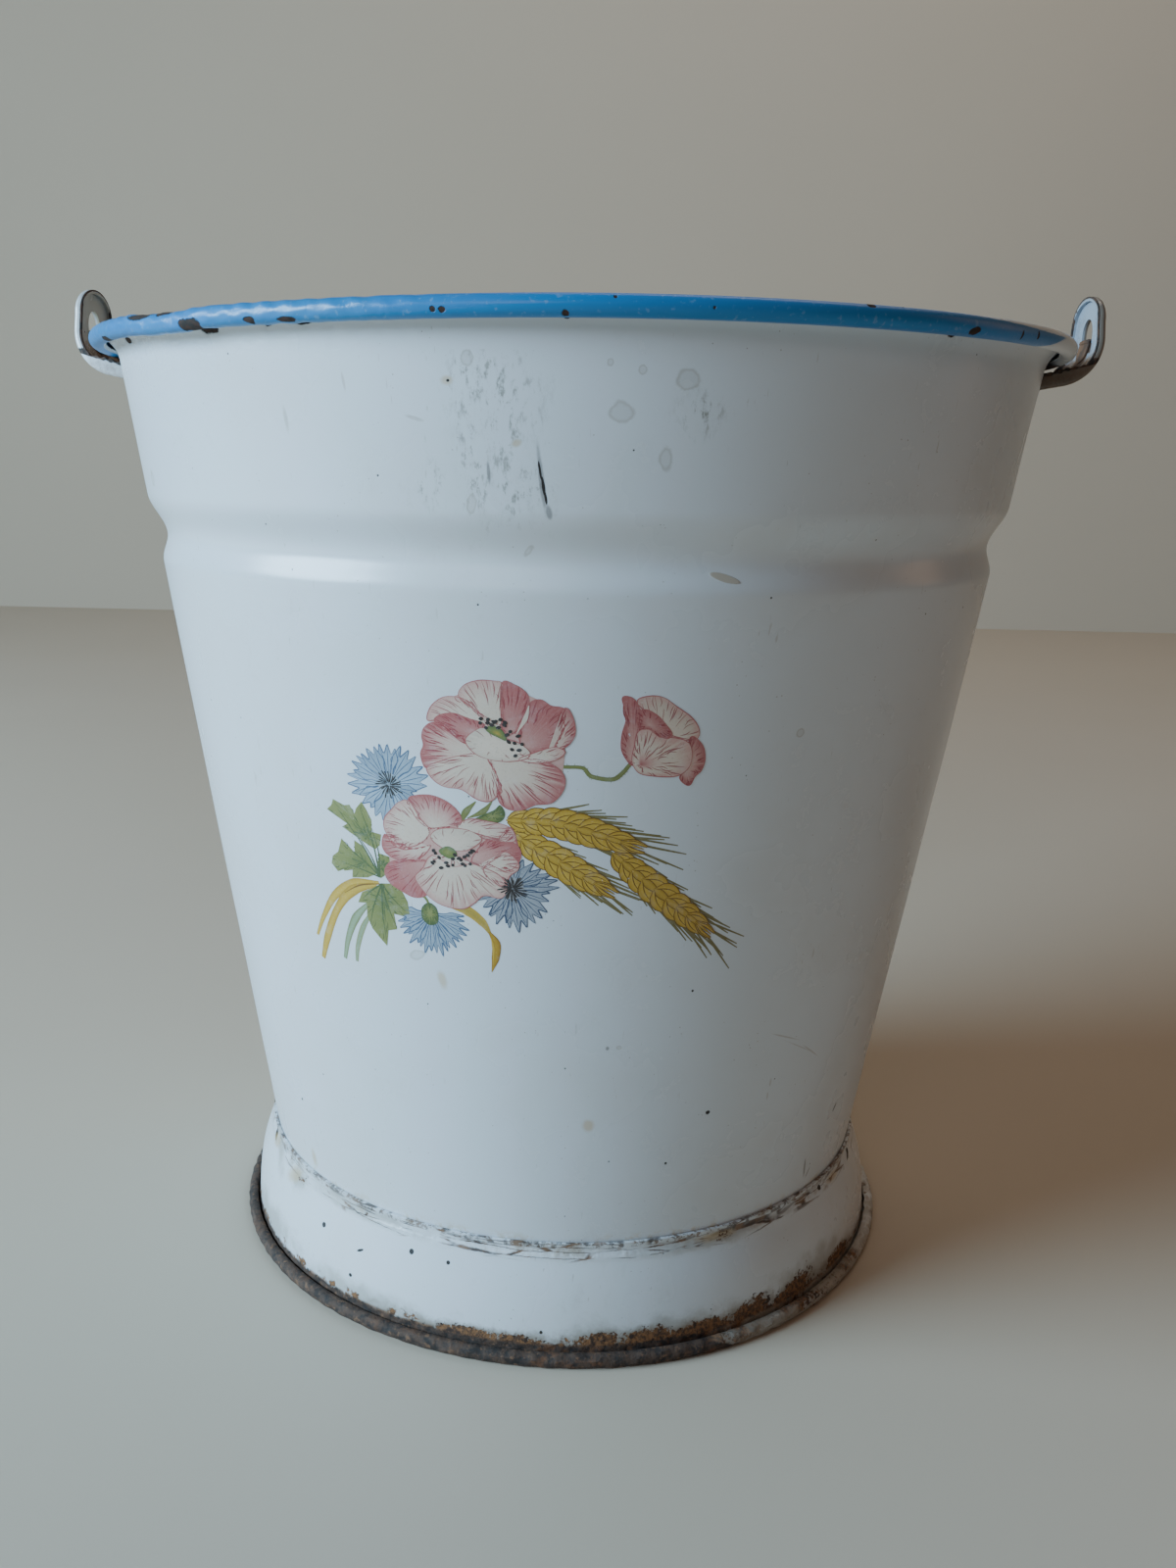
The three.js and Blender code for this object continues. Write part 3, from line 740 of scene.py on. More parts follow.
    def ear_of_wheat(self, path, half, grains, layer, bearded, reach):
        """Grains in pairs along a curved axis, each a pointed leaf with a dark edge, and straight awns beside
        the share of them that is bearded."""
        axis = spline(path, grains + 1)
        way = ways(axis)
        side = to_left(way)
        for k, (spot, fore, out) in enumerate(zip(axis, way, side)):
            full = np.sin(np.pi * (0.16 + 0.8 * k / grains)) ** 0.6
            for sign in (1, -1, 1, -1):
                if self.rng.random() < bearded:
                    away = fore + out * sign * self.rng.uniform(0.05, 0.26)
                    start = spot + fore * 3 + out * sign * half * full * 0.85
                    stop = start + away * reach * self.rng.uniform(0.75, 1.25)
                    awn = [start, (start + stop) / 2, stop]
                    self.line(awn, (0.26, 0.3, 0.26, 0.16), layer, AWN, points=6, across=3)
        core = (half * 0.5, half * 0.95, half * 0.95, half * 0.55)
        self.line(path, core, layer + 0.5, GOLD * 0.8, GOLD * 0.7, 30, 5)
        for k, (spot, fore, out) in enumerate(zip(axis, way, side)):
            full = np.sin(np.pi * (0.16 + 0.8 * k / grains)) ** 0.6
            over = layer + 1.2 * k
            for sign in (1, -1):
                start = spot + out * sign * half * 0.1 - fore * 1.2
                stop = spot + fore * 5.6 + out * sign * half * full
                bulge = (start + stop) / 2 + out * sign * 0.55 - fore * 0.25
                wide = (0.15, 1.5 * full, 1.85 * full, 1.35 * full, 0.1)
                self.line([start, bulge, stop], [w + 0.25 for w in wide], over + 1, GOLD_DARK, points=10)
                self.line([start, bulge, stop], wide, over + 2, GOLD_PALE, GOLD, points=10, across=7)
                fold = [start, bulge + out * sign * 0.2, stop]
                self.line(fold, (0.05, 0.16, 0.1, 0.03), over + 2.15, GOLD_DARK, points=7, across=3)
            nose = [spot - fore * 1.6, spot + fore * 1.5, spot + fore * 4.9]
            self.line(nose, (0.2, 1.35 * full, 1.05 * full, 0.1), over + 2.3, GOLD_DARK, points=8)
            light = (0.1, 1.1 * full, 0.8 * full, 0.05)
            self.line(nose, light, over + 2.6, GOLD_PALE * 0.9, GOLD * 0.9, points=8)


def spline(points, count, closed=False):
    """A Catmull-Rom curve through the points, given at count places."""
    p = np.array(points, float)
    ends = (p[-1:], p[:2]) if closed else (2 * p[:1] - p[1:2], 2 * p[-1:] - p[-2:-1])
    p = np.concatenate([ends[0], p, ends[1]])
    spans = len(p) - 3
    t = np.linspace(0, spans, count, endpoint=not closed)
    k = np.minimum(t.astype(int), spans - 1)
    f = (t - k)[:, None]
    a, b, c, d = (p[k + n] for n in range(4))
    return 0.5 * (2 * b + (c - a) * f + (2 * a - 5 * b + 4 * c - d) * f**2 + (3 * b - a - 3 * c + d) * f**3)


def corners(points, count):
    """The closed polygon through the points, with sharp corners, given at about even places."""
    p = np.array(points, float)
    p = np.concatenate([p, p[:1]])
    run = run_of(p)
    at = np.linspace(0, run[-1], count, endpoint=False)
    for near in run[:-1]:
        at[np.argmin(np.abs(at - near))] = near
    return np.stack([np.interp(at, run, p[:, k]) for k in (0, 1)], 1)


CREAM = (CREAM_PETAL, CREAM_PETAL, PALE_PINK)
BLUSH = (CREAM_PETAL, PALE_PINK, PINK)
ROSY = (PALE_PINK, PINK * 0.6 + PALE_PINK * 0.4, PINK)
SEED_HEAD = (LEAF_PALE, LEAF, LEAF_DARK)
# Places of the dark anthers round each open poppy's middle.
LOWER_ANTHERS = [
    (-30.1, 157), (-29.6, 156.3), (-30.1, 153.9), (-30.6, 153.4), (-28.6, 155.2), (-28.2, 152.3),
    (-26.7, 153.9), (-26.3, 153), (-24.9, 153.4), (-24.8, 155.2), (-23.2, 155.5), (-22.2, 154),
    (-21.6, 153.6), (-21.6, 156.1), (-20.7, 156.6), (-20, 157.4), (-19.3, 158), (-20.1, 154.2),
    (-24.2, 156.4), (-22.6, 155.1)]
UPPER_ANTHERS = [
    (-16, 194.1), (-16.2, 193), (-14.3, 194), (-14.4, 193.1), (-12.9, 193.4), (-12.4, 193.6), (-11.3, 194.1),
    (-14.8, 191.8), (-13.4, 192.6), (-11.8, 192), (-10.4, 192.7), (-10.2, 193.4), (-9, 191.1), (-7.1, 190),
    (-9.4, 188.4), (-8, 188.1), (-6.2, 187.9), (-8.6, 186.4), (-6.9, 186.3), (-7.8, 184.8), (-9.8, 190.2)]


def draw_print():
    """The whole bunch. The wheat comes first, because everything else lies over its stalks."""
    t = Transfer(5)
    draw_wheat(t)
    draw_leaves(t)
    draw_cornflowers(t)
    draw_twisted_leaf(t)
    draw_lower_poppy(t)
    draw_upper_poppy(t)
    for spot in np.array(LOWER_ANTHERS + UPPER_ANTHERS):
        a, size = t.rng.uniform(-0.9, 0.9), t.rng.uniform(0.45, 0.7)
        end = size * np.array([np.cos(a), np.sin(a)])
        t.line([spot - end, spot, spot + end], (0.1, 0.4, 0.45, 0.4, 0.1), 17, INK, points=8, across=3)
    t.stamens((-9.0, 148), 24, 4.4, 13)
    draw_side_poppy(t)
    return t


def draw_wheat(t):
    """Three ears at the right, one across the others."""
    t.ear_of_wheat([(17.8, 157.8), (25, 151.2), (34, 143.6), (42, 137)], 3.1, 8, 1, 1.0, 12.5)
    t.ear_of_wheat([(-8.5, 163.2), (-1, 158.6), (6.5, 153.8), (13.5, 149.6)], 3.3, 7, 1, 0.95, 11)
    t.ear_of_wheat([(-8.8, 167.2), (1, 167.0), (10, 164.8), (20, 161.4)], 3.3, 8, 2, 0.95, 12.5)


def draw_leaves(t):
    """Long blades, lobed leaves with their ribs, and a bud, all at the left of the bunch."""
    t.line([
        (-47.5, 145.2), (-56, 143.6), (-63.5, 138.8), (-69.5, 131), (-73.5, 124.2)],
        (0.5, 1.5, 1.25, 0.8, 0.45), 2, GOLD_PALE, GOLD * 0.9, 30, 7)
    t.line([
        (-48.5, 144.6), (-57, 141.2), (-63.5, 134.5), (-69, 125), (-72.4, 117.2)], (0.6, 1.6, 1.2, 1.3, 0.75),
        3, GOLD_PALE * 0.95, GOLD * 0.85, 30, 7)
    t.line([(-47, 145), (-54, 143.4), (-60, 140)], (0.1, 0.22, 0.05), 4, GOLD_DARK, None, 10, 3)
    t.line([(-51.5, 138.6), (-57, 133), (-60.8, 126), (-63.1, 119.2)], (0.5, 1.3, 0.95, 0.6), 3,
           STEM_BLUE_GREEN * 1.15, LEAF * 0.9, 24, 5)
    t.line([(-50.8, 136.2), (-54.8, 130.5), (-57.6, 124), (-58.6, 119.2)], (0.4, 0.9, 0.8, 0.45), 3,
           STEM_BLUE_GREEN, LEAF_PALE, 24, 5)
    leaves = [
        ((-49.5, 158), 4, [
            (-47.6, 155), (-51.5, 156.8), (-57.8, 160), (-55.6, 161.3), (-58.4, 162.4), (-57, 164.2),
            (-62.4, 164.3), (-60.6, 165.8), (-59.8, 167.6), (-56.2, 166.4), (-54.4, 166.8), (-53.4, 163.6),
            (-52.4, 166), (-50.4, 168.2), (-49.2, 166.3), (-47.8, 163.4), (-48.2, 160), (-45.2, 159.6),
            (-46, 156.4)]),
        ((-51.5, 150.5), 4, [
            (-47.2, 148.2), (-51, 146.2), (-56.4, 145.3), (-56, 147.6), (-59, 146.8), (-59.8, 148.6),
            (-61.4, 146.2), (-63.4, 148.3), (-62.6, 150.6), (-60.4, 152.2), (-58.6, 156.4), (-56, 153.6),
            (-54.6, 152.4), (-54.2, 156.6), (-51.6, 155.4), (-49.8, 152.6), (-48.4, 150)]),
        ((-45.5, 150.8), 3, [
            (-46.8, 146.6), (-47.6, 150), (-46.4, 154), (-43, 153.4), (-41, 151.6), (-43.6, 149)]),
        ((-46.4, 140.5), 5, [
            (-46.6, 145.2), (-50, 143.2), (-53.6, 141.4), (-55.4, 138), (-52.4, 138.4), (-52.8, 134.4),
            (-51.4, 130.8), (-49, 128.2), (-47, 126.3), (-46, 131.2), (-43.2, 132), (-43.6, 136.6),
            (-41, 136.4), (-38.6, 137.4), (-39, 141), (-40.6, 144.2), (-43.4, 145.6)]),
    ]
    tints = (LEAF_DARK * 0.6 + LEAF * 0.4, LEAF, LEAF_PALE * 0.4 + LEAF * 0.6)
    for root, layer, outline in leaves:
        shape = t.patch(root, outline, layer, tints, sharp=True, streaks=(15, 0.6), around=96)
        t.hatch(shape, 13, layer + 1, LEAF_DARK, (0.02, 0.3), 0.9, 0.16)
        t.hatch(shape, 26, layer + 1, LEAF_DARK * 0.8, (0.6, 0.9), 1.0, 0.1)
    for u, v in ((-58.5, 165), (-51, 166), (-53, 158.5), (-59.5, 149.5), (-56, 153.5), (-48, 161)):
        rib = [(-47, 147), ((u - 47.2) / 2 + 1, (v + 147) / 2), (u, v)]
        t.line(rib, (0.25, 0.16, 0.05), 6, LEAF_DARK, points=12, across=3)
    for u, v in ((-52, 132), (-47, 128), (-43.5, 133.5), (-40, 138), (-53.5, 139.5)):
        rib = [(-46.6, 145), ((u - 46.6) / 2 - 0.5, (v + 145) / 2), (u, v)]
        t.line(rib, (0.28, 0.16, 0.05), 7, LEAF_DARK, points=12, across=3)
    for path, width in (([(-22.3, 165.2), (-20.8, 168.6), (-18, 171.8)], (0.2, 1.0, 0.15)),
                        ([(-20.4, 167), (-16.2, 169.2), (-13.8, 172.2)], (0.1, 0.85, 0.12))):
        t.line(path, width, 3, LEAF_PALE * 0.8, LEAF * 0.8, 12, 5)
    bud = t.patch((-14, 168), [
        (-18.4, 166.8), (-14.6, 166), (-11.6, 166.8), (-10.6, 169), (-11.8, 171.2), (-13.4, 169.8),
        (-16, 168.4)], 4, SEED_HEAD, streaks=(7, 0.4))
    t.hatch(bud, 9, 5, LEAF_DARK, (0.2, 0.5))


LEFT_CORNFLOWER, RIGHT_CORNFLOWER, SIDE_CORNFLOWER = (-41.3, 174.2), (-9.2, 148), (-31.8, 138.2)


def draw_cornflowers(t):
    """One at the upper left, one at the right of the lower poppy, and a small one seen from its side."""
    ring = arc(0, 0, 3.2, 0, 2 * np.pi, 12)[:-1]
    florets = [
        (122, 11.4, 0.3), (88, 11.6, 0.28), (58, 12.4, 0.27), (18, 11.8, 0.32), (-22, 8.2, 0.34),
        (-66, 8.6, 0.4), (-104, 11.4, 0.34), (-144, 11.0, 0.3), (186, 13.4, 0.28), (154, 12.4, 0.26)]
    t.cornflower(LEFT_CORNFLOWER, florets, 1.08, SKY, SKY_DEEP, 0.12)
    t.patch(LEFT_CORNFLOWER, ring + LEFT_CORNFLOWER, 6, (SKY * 0.75, SKY))
    t.stamens(LEFT_CORNFLOWER, 26, 4.3, 7)
    florets = [
        (70, 9.0, 0.36), (38, 9.6, 0.34), (14, 13.2, 0.22), (-18, 10.4, 0.3), (-46, 12.0, 0.26),
        (-82, 12.6, 0.26), (-112, 11.4, 0.28), (-142, 10.6, 0.32)]
    t.cornflower(RIGHT_CORNFLOWER, florets, 1.15, STEEL * 0.8 + SKY * 0.2, STEEL_DEEP)
    t.patch(RIGHT_CORNFLOWER, ring + RIGHT_CORNFLOWER, 6, (STEEL * 0.7, STEEL))
    florets = [
        (-172, 10.4, 0.26), (-152, 12.2, 0.24), (-128, 12.0, 0.24), (-104, 12.2, 0.22), (-78, 12.2, 0.22),
        (-54, 11.2, 0.25), (-28, 11.8, 0.24), (-6, 9.8, 0.24)]
    t.cornflower(SIDE_CORNFLOWER, florets, 1.0, SKY * 0.85 + STEEL * 0.15, SKY_DEEP)
    calyx = t.patch((-32.3, 138.6), [
        (-35, 137.6), (-34.6, 140), (-32.6, 141.6), (-30.6, 140.6), (-29.9, 138), (-30.4, 135.8),
        (-32.6, 134.9), (-34.4, 136)], 7, SEED_HEAD, streaks=(9, 0.5))
    t.hatch(calyx, 16, 8, LEAF_DARK, (0.2, 0.6))
    t.line([(-32.4, 141), (-33.6, 143), (-35.4, 143.4)], (0.3, 0.35, 0.3), 6, LEAF, None, 8, 3)


def draw_twisted_leaf(t):
    """An ochre leaf that turns over: a stroke for each half, and a light fold."""
    t.line([
        (-26, 141), (-21.4, 140.4), (-17.4, 137.4), (-15.3, 134.2)], (0.3, 1.5, 1.2, 0.35), 3,
        LEAF_PALE * 0.4 + GOLD * 0.6, GOLD_PALE * 0.9, 20, 7)
    t.line([
        (-15.6, 134.8), (-13.8, 131.4), (-14.1, 127), (-15.2, 122.8)], (0.3, 1.3, 1.1, 0.1), 4, GOLD,
        GOLD_DARK * 1.6, 20, 7)
    t.line([(-15.3, 133.6), (-14.6, 130), (-14.8, 125)], (0.05, 0.35, 0.05), 5, GOLD_PALE, None, 12, 3)


def draw_lower_poppy(t):
    """A plain pink ground, petals laid over it from the back ones to the front one, and the green middle."""
    t.patch((-26, 156), [
        (-40, 166), (-30, 170.5), (-22, 165.4), (-10, 164.6), (-8, 157), (-13, 150), (-20, 144), (-32, 144.4),
        (-42, 147.6), (-43, 157)], 5.5, (PALE_PINK, PALE_PINK))
    t.petal((-29, 163), [
        (-36.2, 170.6), (-34, 172), (-30, 172.5), (-26.4, 171.6), (-23.6, 169.6), (-22, 167), (-22.6, 165),
        (-27, 164), (-31, 163.4), (-34.6, 166)], 6, BLUSH)
    t.petal((-24, 163.4), [
        (-23.4, 164.4), (-20, 166.8), (-15.4, 166.6), (-10.6, 165.8), (-8.4, 164), (-8.3, 161.4),
        (-12, 161.2), (-15, 162.2), (-19, 163.2)], 6, CREAM)
    t.petal((-14, 158.6), [
        (-12.4, 161.6), (-9.4, 165.2), (-7.8, 162), (-7.2, 158), (-9, 156.4), (-12.6, 157)], 5, ROSY)
    t.petal((-31, 162), [
        (-31, 163.2), (-33, 165.4), (-36, 170.2), (-39, 169.6), (-41.2, 167.4), (-43.6, 164.6), (-44, 161.4),
        (-42.2, 158.4), (-38.6, 157), (-34.6, 158), (-31.4, 160.8)], 7, CREAM, fade=2.4)
    t.petal((-31, 158.2), [
        (-44, 160), (-45.2, 157), (-44.2, 154.4), (-41, 153), (-37, 152.8), (-33, 155.2), (-30.8, 158.4),
        (-34, 157.4), (-38.6, 156.2), (-42, 157.4)], 7, BLUSH, fade=2.2)
    t.petal((-31, 154.6), [
        (-43.4, 151.8), (-45.2, 149), (-44.2, 146), (-40.6, 144), (-36.6, 142.6), (-33, 143.8),
        (-32.4, 146.4), (-34.6, 149.4), (-30.6, 153.4), (-36, 153.2), (-40, 153)], 8, ROSY, fade=1.0)
    t.petal((-27, 158.6), [
        (-30.6, 160.4), (-29, 162.9), (-25, 163.9), (-20, 163.6), (-16.8, 161.4), (-20, 158.4), (-23, 157.6),
        (-27, 157.8)], 9, (CREAM_PETAL * 1.06, CREAM_PETAL, CREAM_PETAL * 0.9), lines=10)
    t.petal((-20, 156), [
        (-19.8, 154.6), (-17.6, 159), (-15.4, 161.4), (-12, 161), (-8.2, 160.8), (-6.6, 158), (-8, 154.4),
        (-11, 152.8), (-14, 154), (-16.6, 152.8)], 9, ROSY)
    t.petal((-18, 154), [
        (-16.6, 153), (-13, 156.4), (-10.6, 158.4), (-7.6, 156), (-7.4, 153.6), (-9.6, 151.6), (-11, 148.8),
        (-14, 149.4)], 10, CREAM, fade=2.2)
    t.petal((-25, 156.4), [
        (-30.6, 155.6), (-33.6, 151.4), (-36, 148.6), (-34.2, 145.4), (-31, 142.4), (-27, 141), (-22.6, 141),
        (-19.6, 142.8), (-16.6, 145.4), (-12, 145), (-10.4, 148.4), (-12.4, 151.6), (-16.4, 153.4),
        (-20, 154.2), (-25, 153)], 11, CREAM, streaks=(23, 0.7), fade=3.0, lines=46, start=(0.3, 0.8))
    t.patch((-26.2, 157), [
        (-28.6, 156.8), (-27.4, 158.2), (-25.6, 158.6), (-24, 157.6), (-23.8, 156), (-26, 155.2)], 13,
        (LEAF_PALE, LEAF, LEAF_DARK * 1.4))


def draw_upper_poppy(t):
    """Built as the lower one is."""
    t.patch((-12, 188), [
        (-26, 196), (-18, 201), (-6, 201), (2, 196), (4, 188), (2, 176.5), (-8, 173), (-18, 175), (-28, 181)],
        5.5, (PALE_PINK, PALE_PINK))
    t.petal((-13, 191), [
        (-16.8, 196.4), (-20, 199), (-24.6, 199.3), (-28.2, 196.6), (-29.4, 192.8), (-26, 193.2),
        (-23, 194.6), (-19, 193.6), (-15, 192.6)], 6, CREAM, fade=2.4)
    t.petal((-12.4, 191), [
        (-21.2, 199.6), (-20, 202.4), (-16.6, 203.9), (-13, 204), (-10.7, 203.4), (-10.9, 199), (-11, 193),
        (-14.4, 194.4), (-17.6, 196.6)], 7, CREAM, fade=2.2)
    t.petal((-9, 190), [
        (-10.8, 203.6), (-7.6, 203.1), (-5, 201), (-4.4, 198), (-5.6, 195), (-7.4, 191.4), (-10.4, 190),
        (-11.1, 195)], 7, ROSY, fade=0.7)
    t.petal((-16, 189.4), [
        (-27.6, 192.6), (-26.2, 194.4), (-22.6, 195.1), (-19, 194), (-15.4, 192.8), (-15.4, 190),
        (-19.6, 187.2), (-24, 190)], 8, ROSY, fade=0.9, lines=34)
    t.petal((-17.4, 184.6), [
        (-30.6, 190.4), (-28.4, 192.2), (-25, 191.8), (-21, 188.8), (-17.6, 185.4), (-17.4, 183.8),
        (-22, 182.8), (-27, 180.8), (-30.6, 179.8), (-31.8, 183.4), (-30.9, 186), (-31.2, 188.4)], 8, BLUSH,
        streaks=(19, 0.8), fade=2.6, lines=44)
    t.petal((-6.6, 186.6), [
        (-5, 184.4), (-1.8, 185.6), (2, 187), (5, 189), (5.9, 192), (5.5, 195), (3.5, 197.6), (0.6, 198.1),
        (-1.8, 199.6), (-4.4, 198.6), (-6, 194), (-7, 190)], 7, ROSY, fade=0.8, lines=36)
    t.petal((0, 186.4), [
        (1.8, 186.4), (4.6, 187.8), (6.3, 190.6), (6.2, 194), (4.6, 197.4), (3.2, 196.8), (3.9, 192.6),
        (2, 188.4)], 9, (CREAM_PETAL * 0.95, PALE_PINK * 0.5 + CREAM_PETAL * 0.5, PINK))
    t.line([(-4.5, 198), (-5.4, 194.6), (-7.4, 190.8)], (0.1, 0.6, 0.1), 9, CREAM_PETAL, None, 12, 5)
    t.petal((-15, 184.6), [
        (-17.6, 184.8), (-22, 183.9), (-27, 182), (-30.4, 180), (-29, 177), (-26, 175.2), (-21.6, 174.8),
        (-18, 172.6), (-15, 172), (-12.8, 173.4), (-12, 177), (-13, 181), (-14.6, 184.4)], 10, CREAM,
        streaks=(21, 0.8), fade=3.0, lines=50, start=(0.35, 0.85))
    t.petal((-14, 184.2), [
        (-14.8, 184.4), (-12.5, 179.5), (-11.4, 175.4), (-12.2, 172.4), (-9.6, 170.2), (-6, 170.4),
        (-3, 171.8), (1, 172.4), (3.6, 175.4), (4.2, 179), (2.2, 182), (-2, 184), (-6, 183.6), (-10, 183.8)],
        11, (CREAM_PETAL, CREAM_PETAL, PALE_PINK, PINK), streaks=(19, 0.35), fade=2.0, lines=44)
    t.petal((-5, 184), [
        (-7, 183.8), (-3, 185.9), (1.6, 187.4), (4.1, 186.2), (2.2, 184.2), (-2, 183)], 12, CREAM, lines=8)
    t.petal((-12, 187), [
        (-20, 188.4), (-18, 185), (-14, 183.4), (-9, 183.2), (-5, 184.2), (-4.4, 186), (-7, 188.2),
        (-10, 189.2), (-14, 191), (-16.4, 191.6)], 13,
        (CREAM_PETAL * 1.1, CREAM_PETAL * 1.06, CREAM_PETAL * 0.92), lines=12)
    t.patch((-12, 190.4), [
        (-15, 191.6), (-13.4, 192.4), (-11.2, 191.6), (-10, 189.6), (-10.2, 188.6), (-12, 189.4),
        (-14, 190.4)], 15, (GOLD_PALE * 0.6 + LEAF * 0.4, LEAF, LEAF_DARK * 1.4))


def draw_side_poppy(t):
    """A poppy seen from its side, on its hairy stem."""
    t.line([
        (-1, 182.6), (4, 182.2), (8.4, 182), (10.6, 179.8), (15.6, 179), (18, 180.6), (19.8, 183)],
        (0.5, 0.45, 0.55, 0.6, 0.5), 3, LEAF_PALE * 0.6 + LEAF * 0.4, LEAF * 0.8, 40, 5)
    hairy = [(3, 182.2), (8.4, 182), (10.6, 179.8), (15.6, 179), (18, 180.6), (19.4, 182.4)]
    for spot in spline(hairy, 35)[:-1]:
        a = t.rng.uniform(0, 2 * np.pi)
        hair = [spot, spot + 0.95 * np.array([np.cos(a), np.sin(a)])]
        t.line(hair, (0.08, 0.07, 0.02), 3, LEAF, points=4, across=3)
    t.petal((27, 188.5), [
        (20.6, 199.4), (23.6, 200.9), (27, 200.4), (30, 198.2), (34, 195.2), (36.2, 192), (35.6, 189.4),
        (30, 190.4), (27, 192.4), (24, 194)], 5, (CREAM_PETAL, CREAM_PETAL, CREAM_PETAL * 0.9, PALE_PINK),
        fade=2.2)
    t.petal((33.4, 182.6), [
        (35, 190.2), (37.6, 187.6), (38.5, 184), (37.9, 181), (36.4, 179.3), (35.4, 177.2), (34, 177.4),
        (32.4, 179.4), (34.4, 182), (34.8, 186), (33.9, 189)], 5, BLUSH, fade=1.0)
    t.petal((20.6, 184.4), [
        (17, 200.4), (19.6, 200.3), (21.6, 197), (22.2, 194), (21, 190), (21.6, 186), (20.6, 182.8),
        (19, 184), (17.5, 187), (17.5, 191), (18.3, 195.6)], 6, ROSY, lines=30)
    t.petal((24, 193.4), [
        (20.6, 196), (22.6, 197.4), (25.6, 195.9), (28, 193.4), (29.6, 191), (28.6, 189.8), (26, 190.6),
        (24, 192.2), (21.6, 192.6)], 7, ROSY, fade=0.8)
    t.petal((22.4, 183), [
        (21.2, 191.6), (24, 192.4), (26.6, 190.2), (30, 190), (33.6, 188.8), (35, 186), (34.6, 182),
        (31.6, 179.7), (26, 179.8), (22, 180.8), (20.2, 184), (20.6, 188)], 8, (PINK, PALE_PINK, CREAM_PETAL,
        CREAM_PETAL, PALE_PINK), streaks=(17, 0.3), fade=0.8, lines=44, start=(0.15, 0.7))
    return t


def print_ink():
    """The transfer's colours under the same gloss as the enamel, worn thin in small places."""
    net = Net("flower_print")
    ink = net.written("ink", out="Color")
    grain = net.noise(0.55, 3, 0.7)
    cloud = net.noise(3.2, 4, 0.6)
    thin = grain.step(0.56, 0.78) * 0.2 + cloud.step(0.5, 0.75) * 0.1
    colour = net.mix(thin, ink, WHITE)
    colour = net.mix((0.5 - grain).step(0.06, 0.2) * 0.22, colour, SHADE)
    worn = net.noise(5.5, 6, 0.75).step(0.68, 0.71)
    colour = net.mix(worn * 0.7, colour, WHITE)
    return net.finish(colour, 0.19 + cloud * 0.08, grain, 0.2, 0.1)


# ---- the pieces ----
def wall_line():
    """The wall's outer face from its lower edge to where the rim begins, with close points in the groove."""
    z = np.concatenate([np.arange(SEAM_Z, 222, 4), np.arange(222, 247.5, 0.8), np.arange(248,
        RIM_JOINT_Z + 0.1, 3)])
    return np.stack([wall_r(z), z], 1)


def rim_line():
    """The rim's face: up the wall, out in a short flare, over and round inside the roll."""
    z = np.array([RIM_JOINT_Z, 283.0, 284.5])
    foot = wall_r(284.5)
    flare = [(foot + 0.7, 286.5), (foot + 1.9, 288.3)]
    roll = arc(RIM_R - RIM_BEAD_R, RIM_Z, RIM_BEAD_R - SHEET, 0.82 * np.pi, -0.86 * np.pi, 22)
    return rounded([*np.stack([wall_r(z), z], 1), *flare, *roll], 0.45)


def rim_shift(a, r, z):
    """The rim is no longer true: long low waves, a knock at the left, and small lumps in its thin coat."""
    up = smooth(z, 282, 288)
    left = smooth(np.cos(a + np.radians(36)), 0.86, 0.97)
    knock = smooth(np.cos(a + np.radians(42)), 0.993, 0.9995)
    lumps = np.sin(97 * a + 2 * np.sin(13 * a)) * np.sin(2.1 * z + 9 * a) + 0.6 * np.sin(149 * a + z)
    more_r = 0.22 * np.sin(2 * a - 1) + 0.12 * np.sin(7 * a + 2) - 0.35 * knock + 0.13 * left * lumps
    more_z = 0.28 * np.sin(2 * a + 0.4) + 0.16 * np.sin(5 * a + 1) - 0.55 * knock + 0.08 * left * lumps
    return up * more_r, up * more_z


def foot_line():
    """The foot ring's face from its rolled edge, up the flared skirt, to the collar that laps the wall."""
    collar = [(wall_r(z) + FIT_GAP + SHEET, z) for z in (34.6, 32.0)]
    skirt = [(103.6, 30.6), (104.2, 28.4), (105.5, 25), (107.1, 20), (108.4, 13), (109, 5)]
    bead = FOOT_R - FOOT_BEAD_R
    edge = [(109, 3.1), (109.3, 1.25), (110.1, SHEET), (bead + 0.8, SHEET)]
    roll = arc(bead, FOOT_BEAD_R, FOOT_BEAD_R - SHEET, -0.2 * np.pi, 0.72 * np.pi, 12)
    return rounded([*collar, *skirt, *edge, *roll], 0.75)[::-1]


def foot_shift(a, r, z):
    """The skirt is a little out of round, and its rolled edge is dented and eaten by rust."""
    low = 1 - smooth(z, 3, 24)
    eaten = np.sin(61 * a + 3 * np.sin(9 * a)) * np.sin(1.7 * z + 5 * a) + 0.7 * np.sin(113 * a - z)
    edge = 1 - smooth(z, 3.6, 6.5)
    more_r = low * (0.35 * np.sin(2 * a + 2) + 0.2 * np.sin(5 * a)) + edge * 0.13 * eaten
    more_z = edge * smooth(z, 0.9, 2.2) * 0.12 * eaten
    return more_r, more_z


def pan_line():
    """The bottom's underside from its centre, dished by 2 mm, out to the short edge that is turned down."""
    corner_r = wall_r(PAN_CORNER_Z) - PAN_GAP - PAN_CORNER_R
    share = np.linspace(0, 1, 24)
    disc = np.stack([share * corner_r, PAN_TOP_Z - PAN_DISH * share**2], 1)
    corner = arc(corner_r, PAN_CORNER_Z, PAN_CORNER_R, np.pi / 2, 0.15, 8)[1:]
    return np.concatenate([disc, corner, [(wall_r(PAN_EDGE_Z) - PAN_GAP, PAN_EDGE_Z)]])


def wall_shift(a, r, z):
    """The wall's long low waves."""
    return wave(a, z), 0 * z


def still(a, r, z):
    """A section that stays true all round."""
    return 0 * r, 0 * z


